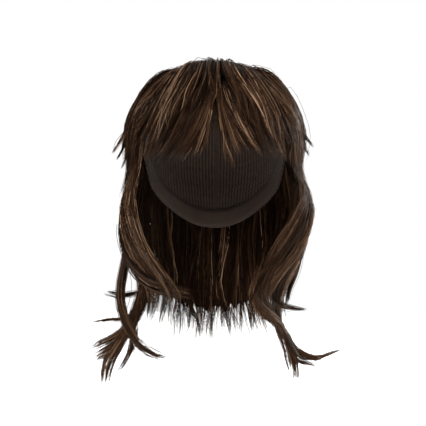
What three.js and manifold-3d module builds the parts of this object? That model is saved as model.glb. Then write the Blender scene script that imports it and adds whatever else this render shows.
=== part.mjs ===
import * as THREE from "three";
import Module from "manifold-3d";

// A shoulder-length mullet wig, as it hangs when worn: a stretch cap with an elastic edge band, and hair
// layers sewn to the cap over each other like roof tiles. Millimetres, +Z up, the wearer looks along -Y.
// The origin is inside the crown of the cap, where the top of a head touches it.

const wasm = await Module();
wasm.setup();

// Inside of the cap
const headHalfWidth = 77;
const headHalfLength = 97;
const crownHeight = 95; // from the widest level of the head up to the inside of the crown
const whorlTilt = 22; // degrees that the hair's whorl lies behind the top

// Cap and band
const capWall = 1.5;
const bandHeight = 12;
const bandWall = 1.2;
const bandGap = 0.5;

// Hair
const hairDrop = 236; // from the widest level of the head down to the longest tips
const seatGap = 1.6; // between a layer and what it lies on
const sewnGap = 1; // between the root of a layer and the cap that it is sewn to
const crownThickness = 5.5;
const crownPeakThickness = 10; // at the whorl
const crownThinning = [0.1, 0.5]; // between these places along the meridian
const fringeThickness = 7;
const templeThickness = 4.5;
const sideThickness = 9;
const sideFullness = { more: 4, between: [1.08, 1.3] }; // mm added to the side hair below the ears
const sideSwing = { turn: 30, between: [1.1, 1.6] }; // degrees that its front edge turns forward
const napeThickness = 6;
const backThickness = 6;
const lockPitch = 15; // between the ridges of neighbouring locks
const lockRelief = 1.6; // depth of the groove between two locks
const lockWidth = 20; // of the fullest lock that hangs free
const lockDepth = 12;

// Fullness of a layer and of a free lock from root to tip: shares of the length where it is full and where
// it starts to thin, and shares of the thickness at both ends
const layerTaper = { root: 0.45, fullFrom: 0.3, thinFrom: 0.62, tip: 0.2 };
const lockTaper = { root: 0.6, fullFrom: 0.25, thinFrom: 0.45, tip: 0.18 };

// Mesh steps
const rowStep = 28;
const lockStep = 18;
const fewestLockSteps = 4;
const lockCorners = 6;
const capColumns = 36;
const capRows = 6;
const slopeStep = 0.01;

const outerHalfWidth = headHalfWidth + capWall;
const outerHalfLength = headHalfLength + capWall;
const outerCrownHeight = crownHeight + capWall;
const outerRadii = new THREE.Vector3(outerHalfWidth, outerHalfLength, outerCrownHeight);
const wigDepth = crownHeight + hairDrop;
const meanRadius = (outerHalfWidth + outerHalfLength) / 2;

const rad = THREE.MathUtils.degToRad;
const mix = THREE.MathUtils.lerp;
const ramp = (x, from, to) => THREE.MathUtils.smoothstep(x, from, to);

// A taper's share of the full thickness at a share of the length
const fullness = (taper, t) =>
  mix(taper.root, 1, ramp(t, 0, taper.fullFrom)) * mix(1, taper.tip, ramp(t, taper.thinFrom, 1));

// How far the innermost hair stands from the head's axis below the widest level, as shares of its distance
// at that level. Rows go round from the back, evenly spaced; columns are levels a fifth of the drop apart.
const drape = {
  left: [
    { azimuth: 180, widest: 1, ear: 0.86, jaw: 0.79, neck: 0.78, shoulder: 0.84, tips: 0.93 },
    { azimuth: 150, widest: 1, ear: 0.89, jaw: 0.82, neck: 0.8, shoulder: 0.86, tips: 0.96 },
    { azimuth: 120, widest: 1, ear: 1.02, jaw: 0.98, neck: 0.88, shoulder: 0.93, tips: 1.05 },
    { azimuth: 90, widest: 1, ear: 1.135, jaw: 1.11, neck: 0.84, shoulder: 0.92, tips: 1.08 },
    { azimuth: 60, widest: 1, ear: 1.08, jaw: 1, neck: 0.74, shoulder: 0.85, tips: 1 },
  ],
  right: [
    { azimuth: 180, widest: 1, ear: 0.86, jaw: 0.79, neck: 0.78, shoulder: 0.84, tips: 0.93 },
    { azimuth: 150, widest: 1, ear: 0.89, jaw: 0.82, neck: 0.8, shoulder: 0.86, tips: 0.96 },
    { azimuth: 120, widest: 1, ear: 1.03, jaw: 0.98, neck: 0.87, shoulder: 0.92, tips: 1.04 },
    { azimuth: 90, widest: 1, ear: 1.185, jaw: 1.08, neck: 0.84, shoulder: 0.9, tips: 1.06 },
    { azimuth: 60, widest: 1, ear: 1.1, jaw: 0.96, neck: 0.7, shoulder: 0.82, tips: 0.98 },
  ],
};
const levels = ["widest", "ear", "jaw", "neck", "shoulder", "tips"];
const rowAngle = drape.left[0].azimuth - drape.left[1].azimuth;

// Where each layer starts and ends along a meridian: 0 at the whorl, 1 at the head's widest level and 2 at
// the longest tips. Azimuths are degrees from the front, positive to the viewer's right.
const rim = [
  { azimuth: 0, end: 0.62 },
  { azimuth: 35, end: 0.67 },
  { azimuth: 60, end: 0.84 },
  { azimuth: 75, end: 0.95 },
  { azimuth: 95, end: 0.93 },
  { azimuth: 120, end: 1.12 },
  { azimuth: 150, end: 1.26 },
  { azimuth: 180, end: 1.3 },
];
const crownHem = [
  { azimuth: 0, end: 0.74 },
  { azimuth: 35, end: 0.8 },
  { azimuth: 60, end: 0.97 },
  { azimuth: 90, end: 1.05 },
  { azimuth: 120, end: 1.2 },
  { azimuth: 150, end: 1.32 },
  { azimuth: 180, end: 1.36 },
];
const fringeHem = {
  left: [
    { azimuth: 0, end: 0.82 },
    { azimuth: 10, end: 0.93 },
    { azimuth: 24, end: 1.01 },
    { azimuth: 38, end: 0.99 },
    { azimuth: 64, end: 0.99 },
  ],
  right: [
    { azimuth: 0, end: 0.8 },
    { azimuth: 8, end: 0.9 },
    { azimuth: 14, end: 1.02 },
    { azimuth: 33, end: 0.955 },
    { azimuth: 64, end: 0.97 },
  ],
};
const templeHem = [
  { azimuth: 66, end: 1.06 },
  { azimuth: 90, end: 1.1 },
  { azimuth: 119, end: 1.2 },
];
const sideHem = [
  { azimuth: 69, end: 1.56 },
  { azimuth: 90, end: 1.62 },
  { azimuth: 119, end: 1.72 },
];
const napeHem = [
  { azimuth: 120, end: 1.79 },
  { azimuth: 180, end: 1.86 },
];
const backHem = [
  { azimuth: 120, end: 1.56 },
  { azimuth: 180, end: 1.64 },
];

// Roots of the layers along the meridian, and the sectors that they cover
const fringeRoot = 0.42;
const templeRoot = 0.5;
const sideRoot = 0.66;
const backRoot = 0.62;
const napeRoot = 0.92;
const bareNape = 0.08; // the back hair is fully lifted this much above the root of the nape hair
const templeRise = { along: 0.14, azimuth: 10 }; // how far before the layer under it a layer starts to rise
const crownRise = { along: 1, azimuth: 25 }; // the crown hair rises all the way from the whorl
const backSeam = { azimuth: 119.5, gap: 1 }; // between the side hair and the back hair, in degrees
const fringeSector = [1.2, 64];
const templeSector = [66, backSeam.azimuth - backSeam.gap / 2];
const sideSector = [69, backSeam.azimuth - backSeam.gap / 2];
const backSector = [backSeam.azimuth + backSeam.gap / 2, 180];

// Steps in length from a lock's point to the groove beside it, and how unevenly the points end
const raggedCrown = 16;
const raggedFringe = 18;
const raggedTail = 34;
const unevenness = { share: 0.4, turn: 1.9 };

// Value at a place along a row of evenly spaced values, level at the first one.
function alongValues(values, place) {
  const last = values.length - 1;
  const i = Math.min(Math.floor(place), last - 1);
  const t = place - i;
  const before = values[Math.abs(i - 1)];
  const after = i + 2 > last ? 2 * values[last] - values[last - 1] : values[i + 2];
  const [a, b] = [values[i], values[i + 1]];
  const cubic = 3 * (a - b) + after - before;
  const square = 2 * before - 5 * a + 4 * b - after;
  return a + 0.5 * t * (b - before + t * (square + t * cubic));
}

// Slope of a hem at a row of its table, level at both of its ends.
function hemSlope(table, i) {
  if (i === 0 || i === table.length - 1) return 0;
  const [a, b] = [table[i - 1], table[i + 1]];
  return (b.end - a.end) / (b.azimuth - a.azimuth);
}

// End of a layer at an azimuth, on a smooth curve through a table that is the same on both sides.
function hemAt(table, azimuth) {
  const at = Math.abs(azimuth);
  const after = table.findIndex((row) => row.azimuth >= at);
  if (after < 0) return table[table.length - 1].end;
  if (after === 0) return table[0].end;
  const [a, b] = [table[after - 1], table[after]];
  const width = b.azimuth - a.azimuth;
  const t = (at - a.azimuth) / width;
  const leave = hemSlope(table, after - 1) * t * (1 - t) ** 2;
  const arrive = hemSlope(table, after) * t ** 2 * (1 - t);
  return mix(a.end, b.end, ramp(t, 0, 1)) + width * (leave - arrive);
}

function drapeShare(azimuth, drop) {
  const rows = azimuth < 0 ? drape.left : drape.right;
  const row = Math.min((180 - Math.abs(azimuth)) / rowAngle, rows.length - 1);
  const shares = levels.map((level) => alongValues(rows.map((r) => r[level]), row));
  return alongValues(shares, drop * (levels.length - 1));
}

// Point and outward normal of the surface that the hair lies on: the outside of the cap, and below the
// widest level the drape of the innermost hair.
function hairBed(azimuth, along) {
  const a = rad(azimuth);
  if (along <= 1) {
    const polar = (Math.PI / 2) * along;
    const tilt = rad(whorlTilt) * (1 - ramp(along, 0, 1));
    const x = Math.sin(polar) * Math.sin(a);
    const y = -Math.sin(polar) * Math.cos(a);
    const z = Math.cos(polar);
    const back = y * Math.cos(tilt) + z * Math.sin(tilt);
    const up = z * Math.cos(tilt) - y * Math.sin(tilt);
    return {
      point: new THREE.Vector3(x, back, up).multiply(outerRadii).setZ(outerCrownHeight * up - crownHeight),
      normal: new THREE.Vector3(x, back, up).divide(outerRadii).normalize(),
    };
  }
  const drop = along - 1;
  const share = drapeShare(azimuth, Math.min(drop, 1));
  const [above, below] = [Math.max(drop - slopeStep, 0), Math.min(drop + slopeStep, 1)];
  const slope = (drapeShare(azimuth, below) - drapeShare(azimuth, above)) / (below - above);
  const plan = new THREE.Vector3(Math.sin(a), -Math.cos(a), 0).multiply(outerRadii);
  const out = new THREE.Vector3(Math.sin(a), -Math.cos(a), 0).divide(outerRadii).normalize();
  return {
    point: plan.clone().multiplyScalar(share).setZ(-crownHeight - hairDrop * drop),
    normal: out.clone().setZ((slope * out.dot(plan)) / hairDrop).normalize(),
  };
}

const offBed = (azimuth, along, offset) => {
  const { point, normal } = hairBed(azimuth, along);
  return point.addScaledVector(normal, offset);
};

// A closed shell between two grids of points. Columns go round with the azimuth and rows go down; with a
// pole the first row of each grid is one point.
function shell(outer, inner, { closed = false, pole = false }) {
  const positions = [];
  const faces = [];
  const number = (grid) =>
    grid.map((column, i) =>
      column.map((p, j) => {
        if (pole && j === 0 && i > 0) return null;
        positions.push(p.x, p.y, p.z);
        return positions.length / 3 - 1;
      }),
    );
  const [out, into] = [outer, inner].map(number).map((grid) => {
    if (pole) grid.forEach((column) => (column[0] = grid[0][0]));
    return grid;
  });
  const quad = (a, b, c, d) => {
    if (a !== b && b !== c && a !== c) faces.push(a, b, c);
    if (a !== c && c !== d && a !== d) faces.push(a, c, d);
  };
  const columns = out.length;
  const last = out[0].length - 1;
  for (let i = 0; i < (closed ? columns : columns - 1); i++) {
    const n = (i + 1) % columns;
    for (let j = 0; j < last; j++) {
      quad(out[i][j], out[i][j + 1], out[n][j + 1], out[n][j]);
      quad(into[i][j], into[n][j], into[n][j + 1], into[i][j + 1]);
    }
    if (!pole) quad(out[i][0], out[n][0], into[n][0], into[i][0]);
    quad(out[i][last], into[i][last], into[n][last], out[n][last]);
  }
  if (!closed) {
    const end = columns - 1;
    for (let j = 0; j < last; j++) {
      quad(out[0][j], into[0][j], into[0][j + 1], out[0][j + 1]);
      quad(out[end][j], out[end][j + 1], into[end][j + 1], into[end][j]);
    }
  }
  return geometryOf(positions, faces);
}

function geometryOf(positions, faces) {
  const geometry = new THREE.BufferGeometry();
  geometry.setAttribute("position", new THREE.Float32BufferAttribute(positions, 3));
  geometry.setIndex(faces);
  geometry.computeVertexNormals();
  return geometry;
}

// A layer of hair: a shell sewn down at its root, ridged into locks outside, whose hem ends in their points.
function hairLayer({ sector, side = 1, closed = false, root, hem, ragged, lift, thickness, drift }) {
  const arc = rad(sector[1] - sector[0]) * meanRadius;
  const locks = Math.round(arc / lockPitch);
  const columns = closed ? 2 * locks : 2 * locks + 1;
  const longest = Math.max(...hem.map((row) => row.end)) - root;
  const rows = Math.ceil((longest * hairDrop) / rowStep);
  const [outer, inner] = [[], []];
  for (let i = 0; i < columns; i++) {
    const azimuth = side * mix(sector[0], sector[1], i / (closed ? columns : columns - 1));
    const ridge = i % 2;
    const uneven = unevenness.share * Math.sin(unevenness.turn * i);
    const end = hemAt(hem, azimuth) + ((ridge - 0.5 + uneven) * ragged) / hairDrop;
    const [outColumn, inColumn] = [[], []];
    for (let j = 0; j <= rows; j++) {
      const t = j / rows;
      const along = mix(root, end, t);
      const at = azimuth + (drift ? drift(azimuth, along) : 0);
      const bottom = j === 0 ? sewnGap : lift(at, along);
      const full = fullness(root > 0 ? layerTaper : { ...layerTaper, root: 1 }, t);
      const groove = ridge ? 0 : lockRelief * ramp(t, 0, layerTaper.fullFrom) * full;
      inColumn.push(offBed(at, along, bottom));
      outColumn.push(offBed(at, along, bottom + thickness(along) * full - groove));
    }
    outer.push(outColumn);
    inner.push(inColumn);
  }
  if (side < 0) {
    outer.reverse();
    inner.reverse();
  }
  return shell(outer, inner, { closed, pole: root === 0 });
}

// How far a layer has risen for a lower layer: fully over it, and not at all beyond the rise's reach.
function risen(azimuth, along, sector, root, rise) {
  const at = Math.abs(azimuth);
  const front = ramp(at, sector[0] - rise.azimuth, sector[0]);
  const back = 1 - ramp(at, sector[1], sector[1] + rise.azimuth);
  return front * back * ramp(along, Math.max(root - rise.along, 0), root);
}

const sideDepth = (along) => sideThickness + sideFullness.more * ramp(along, ...sideFullness.between);
const fringeTop = seatGap + fringeThickness + seatGap;
const sideTop = (along) => seatGap + sideDepth(along) + seatGap;
const templeTop = (along) => sideTop(along) + templeThickness + seatGap;
const napeTop = seatGap + napeThickness + seatGap;
const backTop = napeTop + backThickness + seatGap;

const templeLift = (azimuth, along) =>
  mix(seatGap, sideTop(along), risen(azimuth, along, [sideSector[0], 180], sideRoot, templeRise));
const backLift = (azimuth, along) => mix(seatGap, napeTop, ramp(along, backRoot, napeRoot - bareNape));
const crownLift = (azimuth, along) =>
  Math.max(
    seatGap,
    fringeTop * risen(azimuth, along, fringeSector, fringeRoot, crownRise),
    templeTop(along) * risen(azimuth, along, templeSector, templeRoot, crownRise),
    backTop * risen(azimuth, along, backSector, backRoot, crownRise),
  );

// A free lock along a curve: a flat lens in section, full after its root and drawn out to a point.
function freeLock(side, { wide, deep, path }) {
  const reach = new THREE.Vector3(side * headHalfWidth, headHalfLength, -wigDepth);
  const places = path.map((shares) => new THREE.Vector3(...shares).multiply(reach));
  const curve = new THREE.CatmullRomCurve3(places, false, "centripetal");
  const steps = Math.max(fewestLockSteps, Math.round(curve.getLength() / lockStep));
  const [positions, faces] = [[], []];
  const across = new THREE.Vector3();
  for (let i = 0; i < steps; i++) {
    const t = i / steps;
    const centre = curve.getPointAt(t);
    const tangent = curve.getTangentAt(t);
    if (i === 0) across.crossVectors(tangent, new THREE.Vector3(centre.x, centre.y, 0));
    across.addScaledVector(tangent, -across.dot(tangent)).normalize();
    const depth = new THREE.Vector3().crossVectors(across, tangent);
    const full = fullness(lockTaper, t);
    for (let k = 0; k < lockCorners; k++) {
      const angle = (2 * Math.PI * k) / lockCorners;
      const corner = centre
        .clone()
        .addScaledVector(across, (Math.cos(angle) * full * wide * lockWidth) / 2)
        .addScaledVector(depth, (Math.sin(angle) * full * deep * lockDepth) / 2);
      positions.push(corner.x, corner.y, corner.z);
    }
  }
  const tip = curve.getPointAt(1);
  positions.push(tip.x, tip.y, tip.z);
  const point = positions.length / 3 - 1;
  for (let i = 0; i < steps; i++) {
    for (let k = 0; k < lockCorners; k++) {
      const n = (k + 1) % lockCorners;
      const [a, b] = [i * lockCorners + k, i * lockCorners + n];
      if (i === steps - 1) faces.push(a, point, b);
      else faces.push(a, a + lockCorners, b + lockCorners, a, b + lockCorners, b);
      if (i === 0 && k > 0 && k < lockCorners - 1) faces.push(0, k, k + 1);
    }
  }
  return geometryOf(positions, faces);
}

// Free locks: how wide and deep each is, as shares of the fullest lock, and its path in rows of
// [out, back, drop], shares of the head's half width, its half length and the wig's whole depth.
const templeWisps = {
  left: { wide: 0.45, deep: 0.29, path: [[1.22, -0.2, 0.2], [1.3, -0.14, 0.222], [1.415, -0.08, 0.241]] },
  right: { wide: 0.45, deep: 0.29, path: [[1.2, -0.2, 0.2], [1.27, -0.14, 0.218], [1.33, -0.08, 0.232]] },
};
const leftLocks = {
  jaw: {
    wide: 1.1,
    deep: 0.8,
    path: [
      [1.27, 0.12, 0.427], [1.27, 0.06, 0.512], [1.22, -0.04, 0.569], [1.12, -0.15, 0.616],
      [0.99, -0.26, 0.65], [0.84, -0.38, 0.672], [0.66, -0.49, 0.684], [0.41, -0.58, 0.695],
    ],
  },
  curl: {
    wide: 0.55,
    deep: 0.7,
    path: [
      [1.17, 0.2, 0.498], [1.25, 0.19, 0.604], [1.31, 0.14, 0.68], [1.31, 0.08, 0.735],
      [1.26, 0.02, 0.785], [1.17, -0.08, 0.83], [1.02, -0.18, 0.872], [0.84, -0.26, 0.897],
      [0.66, -0.32, 0.905],
    ],
  },
  tail: {
    wide: 0.9,
    deep: 0.9,
    path: [
      [1.18, 0.16, 0.506], [1.06, 0.16, 0.61], [1, 0.15, 0.685], [1.05, 0.17, 0.747], [1.15, 0.2, 0.8],
      [1.27, 0.24, 0.844], [1.38, 0.27, 0.886], [1.48, 0.29, 0.928], [1.53, 0.3, 0.964],
      [1.55, 0.3, 0.997],
    ],
  },
  upperFlick: {
    wide: 0.7,
    deep: 0.58,
    path: [
      [1.08, 0.18, 0.754], [1.17, 0.21, 0.804], [1.31, 0.24, 0.839], [1.47, 0.26, 0.864],
      [1.67, 0.28, 0.883],
    ],
  },
  lowerFlick: {
    wide: 1,
    deep: 0.8,
    path: [
      [1.04, 0.17, 0.702], [1.1, 0.19, 0.774], [1.22, 0.23, 0.834], [1.4, 0.26, 0.886],
      [1.67, 0.29, 0.939],
    ],
  },
  loop: {
    wide: 0.45,
    deep: 0.42,
    path: [
      [1.11, 0.18, 0.777], [1.25, 0.2, 0.794], [1.45, 0.21, 0.799], [1.66, 0.21, 0.805],
    ],
  },
  neckWisp: {
    wide: 0.55,
    deep: 0.5,
    path: [
      [1.05, 0.15, 0.705], [1.19, 0.17, 0.711], [1.35, 0.19, 0.715], [1.52, 0.2, 0.709],
    ],
  },
  innerTip: {
    wide: 0.7,
    deep: 0.58,
    path: [
      [1.11, 0.24, 0.808], [1.16, 0.31, 0.869], [1.21, 0.37, 0.914], [1.29, 0.4, 0.944],
      [1.37, 0.41, 0.968],
    ],
  },
};
const rightLocks = {
  curtain: {
    wide: 1.3,
    deep: 0.6,
    path: [
      [1.29, 0.12, 0.447], [1.26, 0.07, 0.515], [1.14, 0, 0.57], [0.97, -0.1, 0.612],
      [0.78, -0.21, 0.641], [0.61, -0.33, 0.671], [0.53, -0.42, 0.713],
    ],
  },
  flip: {
    wide: 0.6,
    deep: 0.6,
    path: [
      [1.16, 0.06, 0.557], [1.02, -0.06, 0.611], [0.8, -0.2, 0.654], [0.6, -0.34, 0.69],
      [0.57, -0.42, 0.726], [0.63, -0.42, 0.754], [0.76, -0.38, 0.775], [0.88, -0.33, 0.799],
      [0.95, -0.28, 0.833], [1.04, -0.24, 0.869], [1.18, -0.21, 0.895], [1.34, -0.2, 0.91],
      [1.51, -0.19, 0.904], [1.69, -0.19, 0.887],
    ],
  },
  downTip: {
    wide: 0.6,
    deep: 0.58,
    path: [
      [0.95, -0.29, 0.82], [1.02, -0.25, 0.866], [1.08, -0.23, 0.911], [1.11, -0.22, 0.943],
      [1.12, -0.22, 0.978],
    ],
  },
  lowStrand: {
    wide: 0.5,
    deep: 0.5,
    path: [
      [0.97, -0.27, 0.843], [1.11, -0.24, 0.895], [1.24, -0.23, 0.909], [1.42, -0.22, 0.914],
    ],
  },
  shoulderFlick: {
    wide: 0.65,
    deep: 0.58,
    path: [
      [0.78, 0, 0.666], [0.79, 0, 0.712], [0.89, -0.02, 0.742], [1.03, -0.04, 0.754],
      [1.2, -0.05, 0.759],
    ],
  },
  earTail: {
    wide: 0.8,
    deep: 0.58,
    path: [
      [1.19, 0.1, 0.56], [1.12, 0.12, 0.634], [1.04, 0.14, 0.689], [1, 0.14, 0.737],
    ],
  },
  innerTail: {
    wide: 0.8,
    deep: 0.58,
    path: [
      [0.9, 0.17, 0.65], [0.88, 0.21, 0.75], [0.92, 0.23, 0.83], [1, 0.25, 0.89], [1.06, 0.26, 0.959],
    ],
  },
  neck: {
    wide: 0.8,
    deep: 0.58,
    path: [
      [1.1, 0.02, 0.59], [0.85, -0.06, 0.648], [0.7, -0.14, 0.697], [0.71, -0.2, 0.74],
      [0.83, -0.25, 0.78], [0.93, -0.27, 0.824], [1, -0.26, 0.86],
    ],
  },
};

function solidOf(geometry) {
  return new wasm.Manifold(
    new wasm.Mesh({
      numProp: 3,
      vertProperties: geometry.getAttribute("position").array,
      triVerts: new Uint32Array(geometry.index.array),
    }),
  );
}

// Locks sewn into a layer are one solid with it, and a pocket closed in between them is filled with hair.
function fuse(layer, locks) {
  const joined = locks.reduce((solid, lock) => solid.add(solidOf(lock)), solidOf(layer));
  const [skin] = joined.decompose().sort((a, b) => b.volume() - a.volume());
  const { vertProperties, triVerts } = skin.getMesh();
  return geometryOf(Array.from(vertProperties), Array.from(triVerts));
}

// A shell round the head between two offsets from the outside of the cap, down to the cap's rim. Its last
// two rows are the edge band's height, so that the band follows the cap's facets.
function capShell(innerOffset, outerOffset, rows) {
  const [outer, inner] = [[], []];
  for (let i = 0; i < capColumns; i++) {
    const azimuth = mix(-180, 180, i / capColumns);
    const end = hemAt(rim, azimuth);
    const places = [end - bandSpan, end - bandSpan / 2, end];
    for (let j = rows; j > 0; j--) places.unshift(((j - 1) / rows) * (end - bandSpan));
    outer.push(places.map((along) => offBed(azimuth, along, outerOffset)));
    inner.push(places.map((along) => offBed(azimuth, along, innerOffset)));
  }
  return shell(outer, inner, { closed: true, pole: rows > 0 });
}

const bandSpan = bandHeight / ((Math.PI / 2) * meanRadius);
const wigCap = () => capShell(-capWall, 0, capRows);
const edgeBand = () => capShell(-capWall - bandGap - bandWall, -capWall - bandGap, 0);

const crownHair = () =>
  fuse(
    hairLayer({
      sector: [-180, 180],
      closed: true,
      root: 0,
      hem: crownHem,
      ragged: raggedCrown,
      lift: crownLift,
      thickness: (along) => mix(crownPeakThickness, crownThickness, ramp(along, ...crownThinning)),
    }),
    [freeLock(-1, templeWisps.left), freeLock(1, templeWisps.right)],
  );

// The fringe is parted in the middle, over the brow.
const fringe = (side) =>
  hairLayer({
    sector: fringeSector,
    side,
    root: fringeRoot,
    hem: side < 0 ? fringeHem.left : fringeHem.right,
    ragged: raggedFringe,
    lift: () => seatGap,
    thickness: () => fringeThickness,
  });

const templeHair = (side) =>
  hairLayer({
    sector: templeSector,
    side,
    root: templeRoot,
    hem: templeHem,
    ragged: raggedCrown,
    lift: templeLift,
    thickness: () => templeThickness,
  });

// The side hair's front edge swings forward over the shoulder as it drops.
function sideHair(side, locks) {
  const forward = (azimuth, along) =>
    -side * sideSwing.turn * ramp(along, ...sideSwing.between) * (1 - ramp(Math.abs(azimuth), ...sideSector));
  return fuse(
    hairLayer({
      sector: sideSector,
      side,
      root: sideRoot,
      hem: sideHem,
      ragged: raggedTail,
      lift: () => seatGap,
      thickness: sideDepth,
      drift: forward,
    }),
    Object.values(locks).map((row) => freeLock(side, row)),
  );
}

const wholeBack = [backSector[0], 2 * backSector[1] - backSector[0]];
const turned = (azimuth) => (azimuth > 180 ? azimuth - 360 : azimuth);
const backLayer = (root, hem, lift, thickness) => {
  const mirrored = hem.concat([{ azimuth: wholeBack[1], end: hem[0].end }]);
  return hairLayer({
    sector: wholeBack,
    root,
    hem: mirrored,
    ragged: raggedTail,
    lift,
    thickness: () => thickness,
    drift: (azimuth) => turned(azimuth) - azimuth,
  });
};
const backHair = () => backLayer(backRoot, backHem, backLift, backThickness);
const napeHair = () => backLayer(napeRoot, napeHem, () => seatGap, napeThickness);

const capFabric = new THREE.MeshStandardMaterial({ color: 0x2a1f1a, roughness: 0.85, metalness: 0 });
const elastic = new THREE.MeshStandardMaterial({ color: 0x1f1815, roughness: 0.8, metalness: 0 });
const hair = new THREE.MeshStandardMaterial({ color: 0x4a3527, roughness: 0.45, metalness: 0 });

const wig = new THREE.Group();
const pieces = [
  ["wig_cap", wigCap(), capFabric],
  ["edge_band", edgeBand(), elastic],
  ["crown_hair", crownHair(), hair],
  ["fringe_left", fringe(-1), hair],
  ["fringe_right", fringe(1), hair],
  ["temple_hair_left", templeHair(-1), hair],
  ["temple_hair_right", templeHair(1), hair],
  ["side_hair_left", sideHair(-1, leftLocks), hair],
  ["side_hair_right", sideHair(1, rightLocks), hair],
  ["back_hair", backHair(), hair],
  ["nape_hair", napeHair(), hair],
];
for (const [name, geometry, material] of pieces) {
  const mesh = new THREE.Mesh(geometry, material);
  mesh.name = name;
  wig.add(mesh);
}

export default wig;
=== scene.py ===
"""Dresses a dark brown mullet wig with strands of hair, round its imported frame.

The wig hangs as it does when worn: a stretch cap with an elastic edge band, and layers of hair sewn to the
cap over each other. Lengths are metres, +Z is up and the wearer looks along -Y. The origin is inside the
crown. Azimuths are degrees from the front, positive to the viewer's right. A place along a meridian is 0 at
the whorl, 1 at the head's widest level and 2 at the longest tips.
"""

import logging
import math
from dataclasses import dataclass, field
from enum import Enum
from typing import Callable, Optional, Sequence

import bpy
import numpy as np
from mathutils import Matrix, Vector

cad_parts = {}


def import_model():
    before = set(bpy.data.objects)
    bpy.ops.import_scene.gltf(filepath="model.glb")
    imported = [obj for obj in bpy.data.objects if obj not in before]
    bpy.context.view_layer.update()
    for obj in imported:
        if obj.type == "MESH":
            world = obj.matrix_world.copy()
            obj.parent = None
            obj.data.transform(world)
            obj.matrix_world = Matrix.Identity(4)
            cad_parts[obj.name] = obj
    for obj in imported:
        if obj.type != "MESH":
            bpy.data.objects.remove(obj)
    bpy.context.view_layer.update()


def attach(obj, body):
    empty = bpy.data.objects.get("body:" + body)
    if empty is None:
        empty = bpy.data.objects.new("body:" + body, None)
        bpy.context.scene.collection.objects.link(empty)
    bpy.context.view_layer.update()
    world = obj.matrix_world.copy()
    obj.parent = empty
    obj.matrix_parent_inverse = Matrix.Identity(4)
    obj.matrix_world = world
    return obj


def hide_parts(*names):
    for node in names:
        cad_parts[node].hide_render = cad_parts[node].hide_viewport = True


LOG = logging.getLogger("wig")
BODY = "root"
UV_NAME = "OFBake"
MM = 0.001

Curve = Callable[[np.ndarray, np.ndarray], np.ndarray]
Depth = Callable[[np.ndarray], np.ndarray]
Lean = Callable[[np.ndarray, np.ndarray, np.ndarray], np.ndarray]


def ramp(x: np.ndarray, low: float, high: float) -> np.ndarray:
    """Goes smoothly from 0 at low to 1 at high.

    Args:
        x: Where it is wanted.
        low: Up to here it is 0.
        high: From here on it is 1.

    Returns:
        The values, from 0 to 1.
    """
    t = np.clip((np.asarray(x, dtype=float) - low) / (high - low), 0.0, 1.0)
    return t * t * (3.0 - 2.0 * t)


def mix(a: np.ndarray, b: np.ndarray, share: np.ndarray) -> np.ndarray:
    """Blends from a, at share 0, to b, at share 1."""
    return a + (b - a) * share


def unit(vectors: np.ndarray) -> np.ndarray:
    """Scales each vector of an array to length 1."""
    return vectors / np.maximum(np.linalg.norm(vectors, axis=-1, keepdims=True), 1e-12)


def along_values(values: np.ndarray, place: np.ndarray) -> np.ndarray:
    """Reads rows of evenly spaced values at one place each, on a smooth curve that starts level.

    Args:
        values: One row of values for each place.
        place: Where to read each row, counted in values from the first one.

    Returns:
        One value for each row.
    """
    last = values.shape[1] - 1
    index = np.clip(np.floor(place).astype(int), 0, last - 1)
    t = place - index

    def pick(i: np.ndarray) -> np.ndarray:
        """Takes one value of each row."""
        return np.take_along_axis(values, i[:, None], 1)[:, 0]

    a = pick(index)
    b = pick(index + 1)
    before = pick(np.abs(index - 1))
    after = np.where(
        index + 2 > last, 2.0 * values[:, last] - values[:, last - 1], pick(np.minimum(index + 2, last))
    )
    cubic = 3.0 * (a - b) + after - before
    square = 2.0 * before - 5.0 * a + 4.0 * b - after
    return a + 0.5 * t * (b - before + t * (square + t * cubic))


class Side(Enum):
    """The viewer's left and right, with the sign of X there."""

    LEFT = -1
    RIGHT = 1


@dataclass(frozen=True)
class Taper:
    """How full a layer or a lock is from root to tip, as shares of its fullest thickness and its length."""

    root: float
    full_from: float
    thin_from: float
    tip: float

    def at(self, t: np.ndarray) -> np.ndarray:
        """Gives the share of the full thickness at shares of the length."""
        return mix(self.root, 1.0, ramp(t, 0.0, self.full_from)) * mix(
            1.0, self.tip, ramp(t, self.thin_from, 1.0)
        )


LAYER_TAPER = Taper(root=0.45, full_from=0.3, thin_from=0.62, tip=0.2)
LOCK_TAPER = Taper(root=0.6, full_from=0.25, thin_from=0.45, tip=0.18)
STRAND_TAPER = Taper(root=0.8, full_from=0.15, thin_from=0.55, tip=0.35)


@dataclass(frozen=True)
class Hem:
    """Where a layer ends: places at azimuths, on a smooth curve that is level at both of its ends."""

    azimuths: tuple[float, ...]
    ends: tuple[float, ...]

    def at(self, azimuth: np.ndarray) -> np.ndarray:
        """Gives the layer's end, the same on both sides.

        Args:
            azimuth: Degrees from the front.

        Returns:
            Places along the meridian.
        """
        places = np.array(self.azimuths)
        ends = np.array(self.ends)
        slopes = np.zeros(len(places))
        slopes[1:-1] = (ends[2:] - ends[:-2]) / (places[2:] - places[:-2])
        at = np.clip(np.abs(azimuth), places[0], places[-1])
        b = np.clip(np.searchsorted(places, at), 1, len(places) - 1)
        a = b - 1
        width = places[b] - places[a]
        t = (at - places[a]) / width
        bend = slopes[a] * t * (1.0 - t) ** 2 - slopes[b] * t**2 * (1.0 - t)
        return mix(ends[a], ends[b], ramp(t, 0.0, 1.0)) + width * bend


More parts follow.
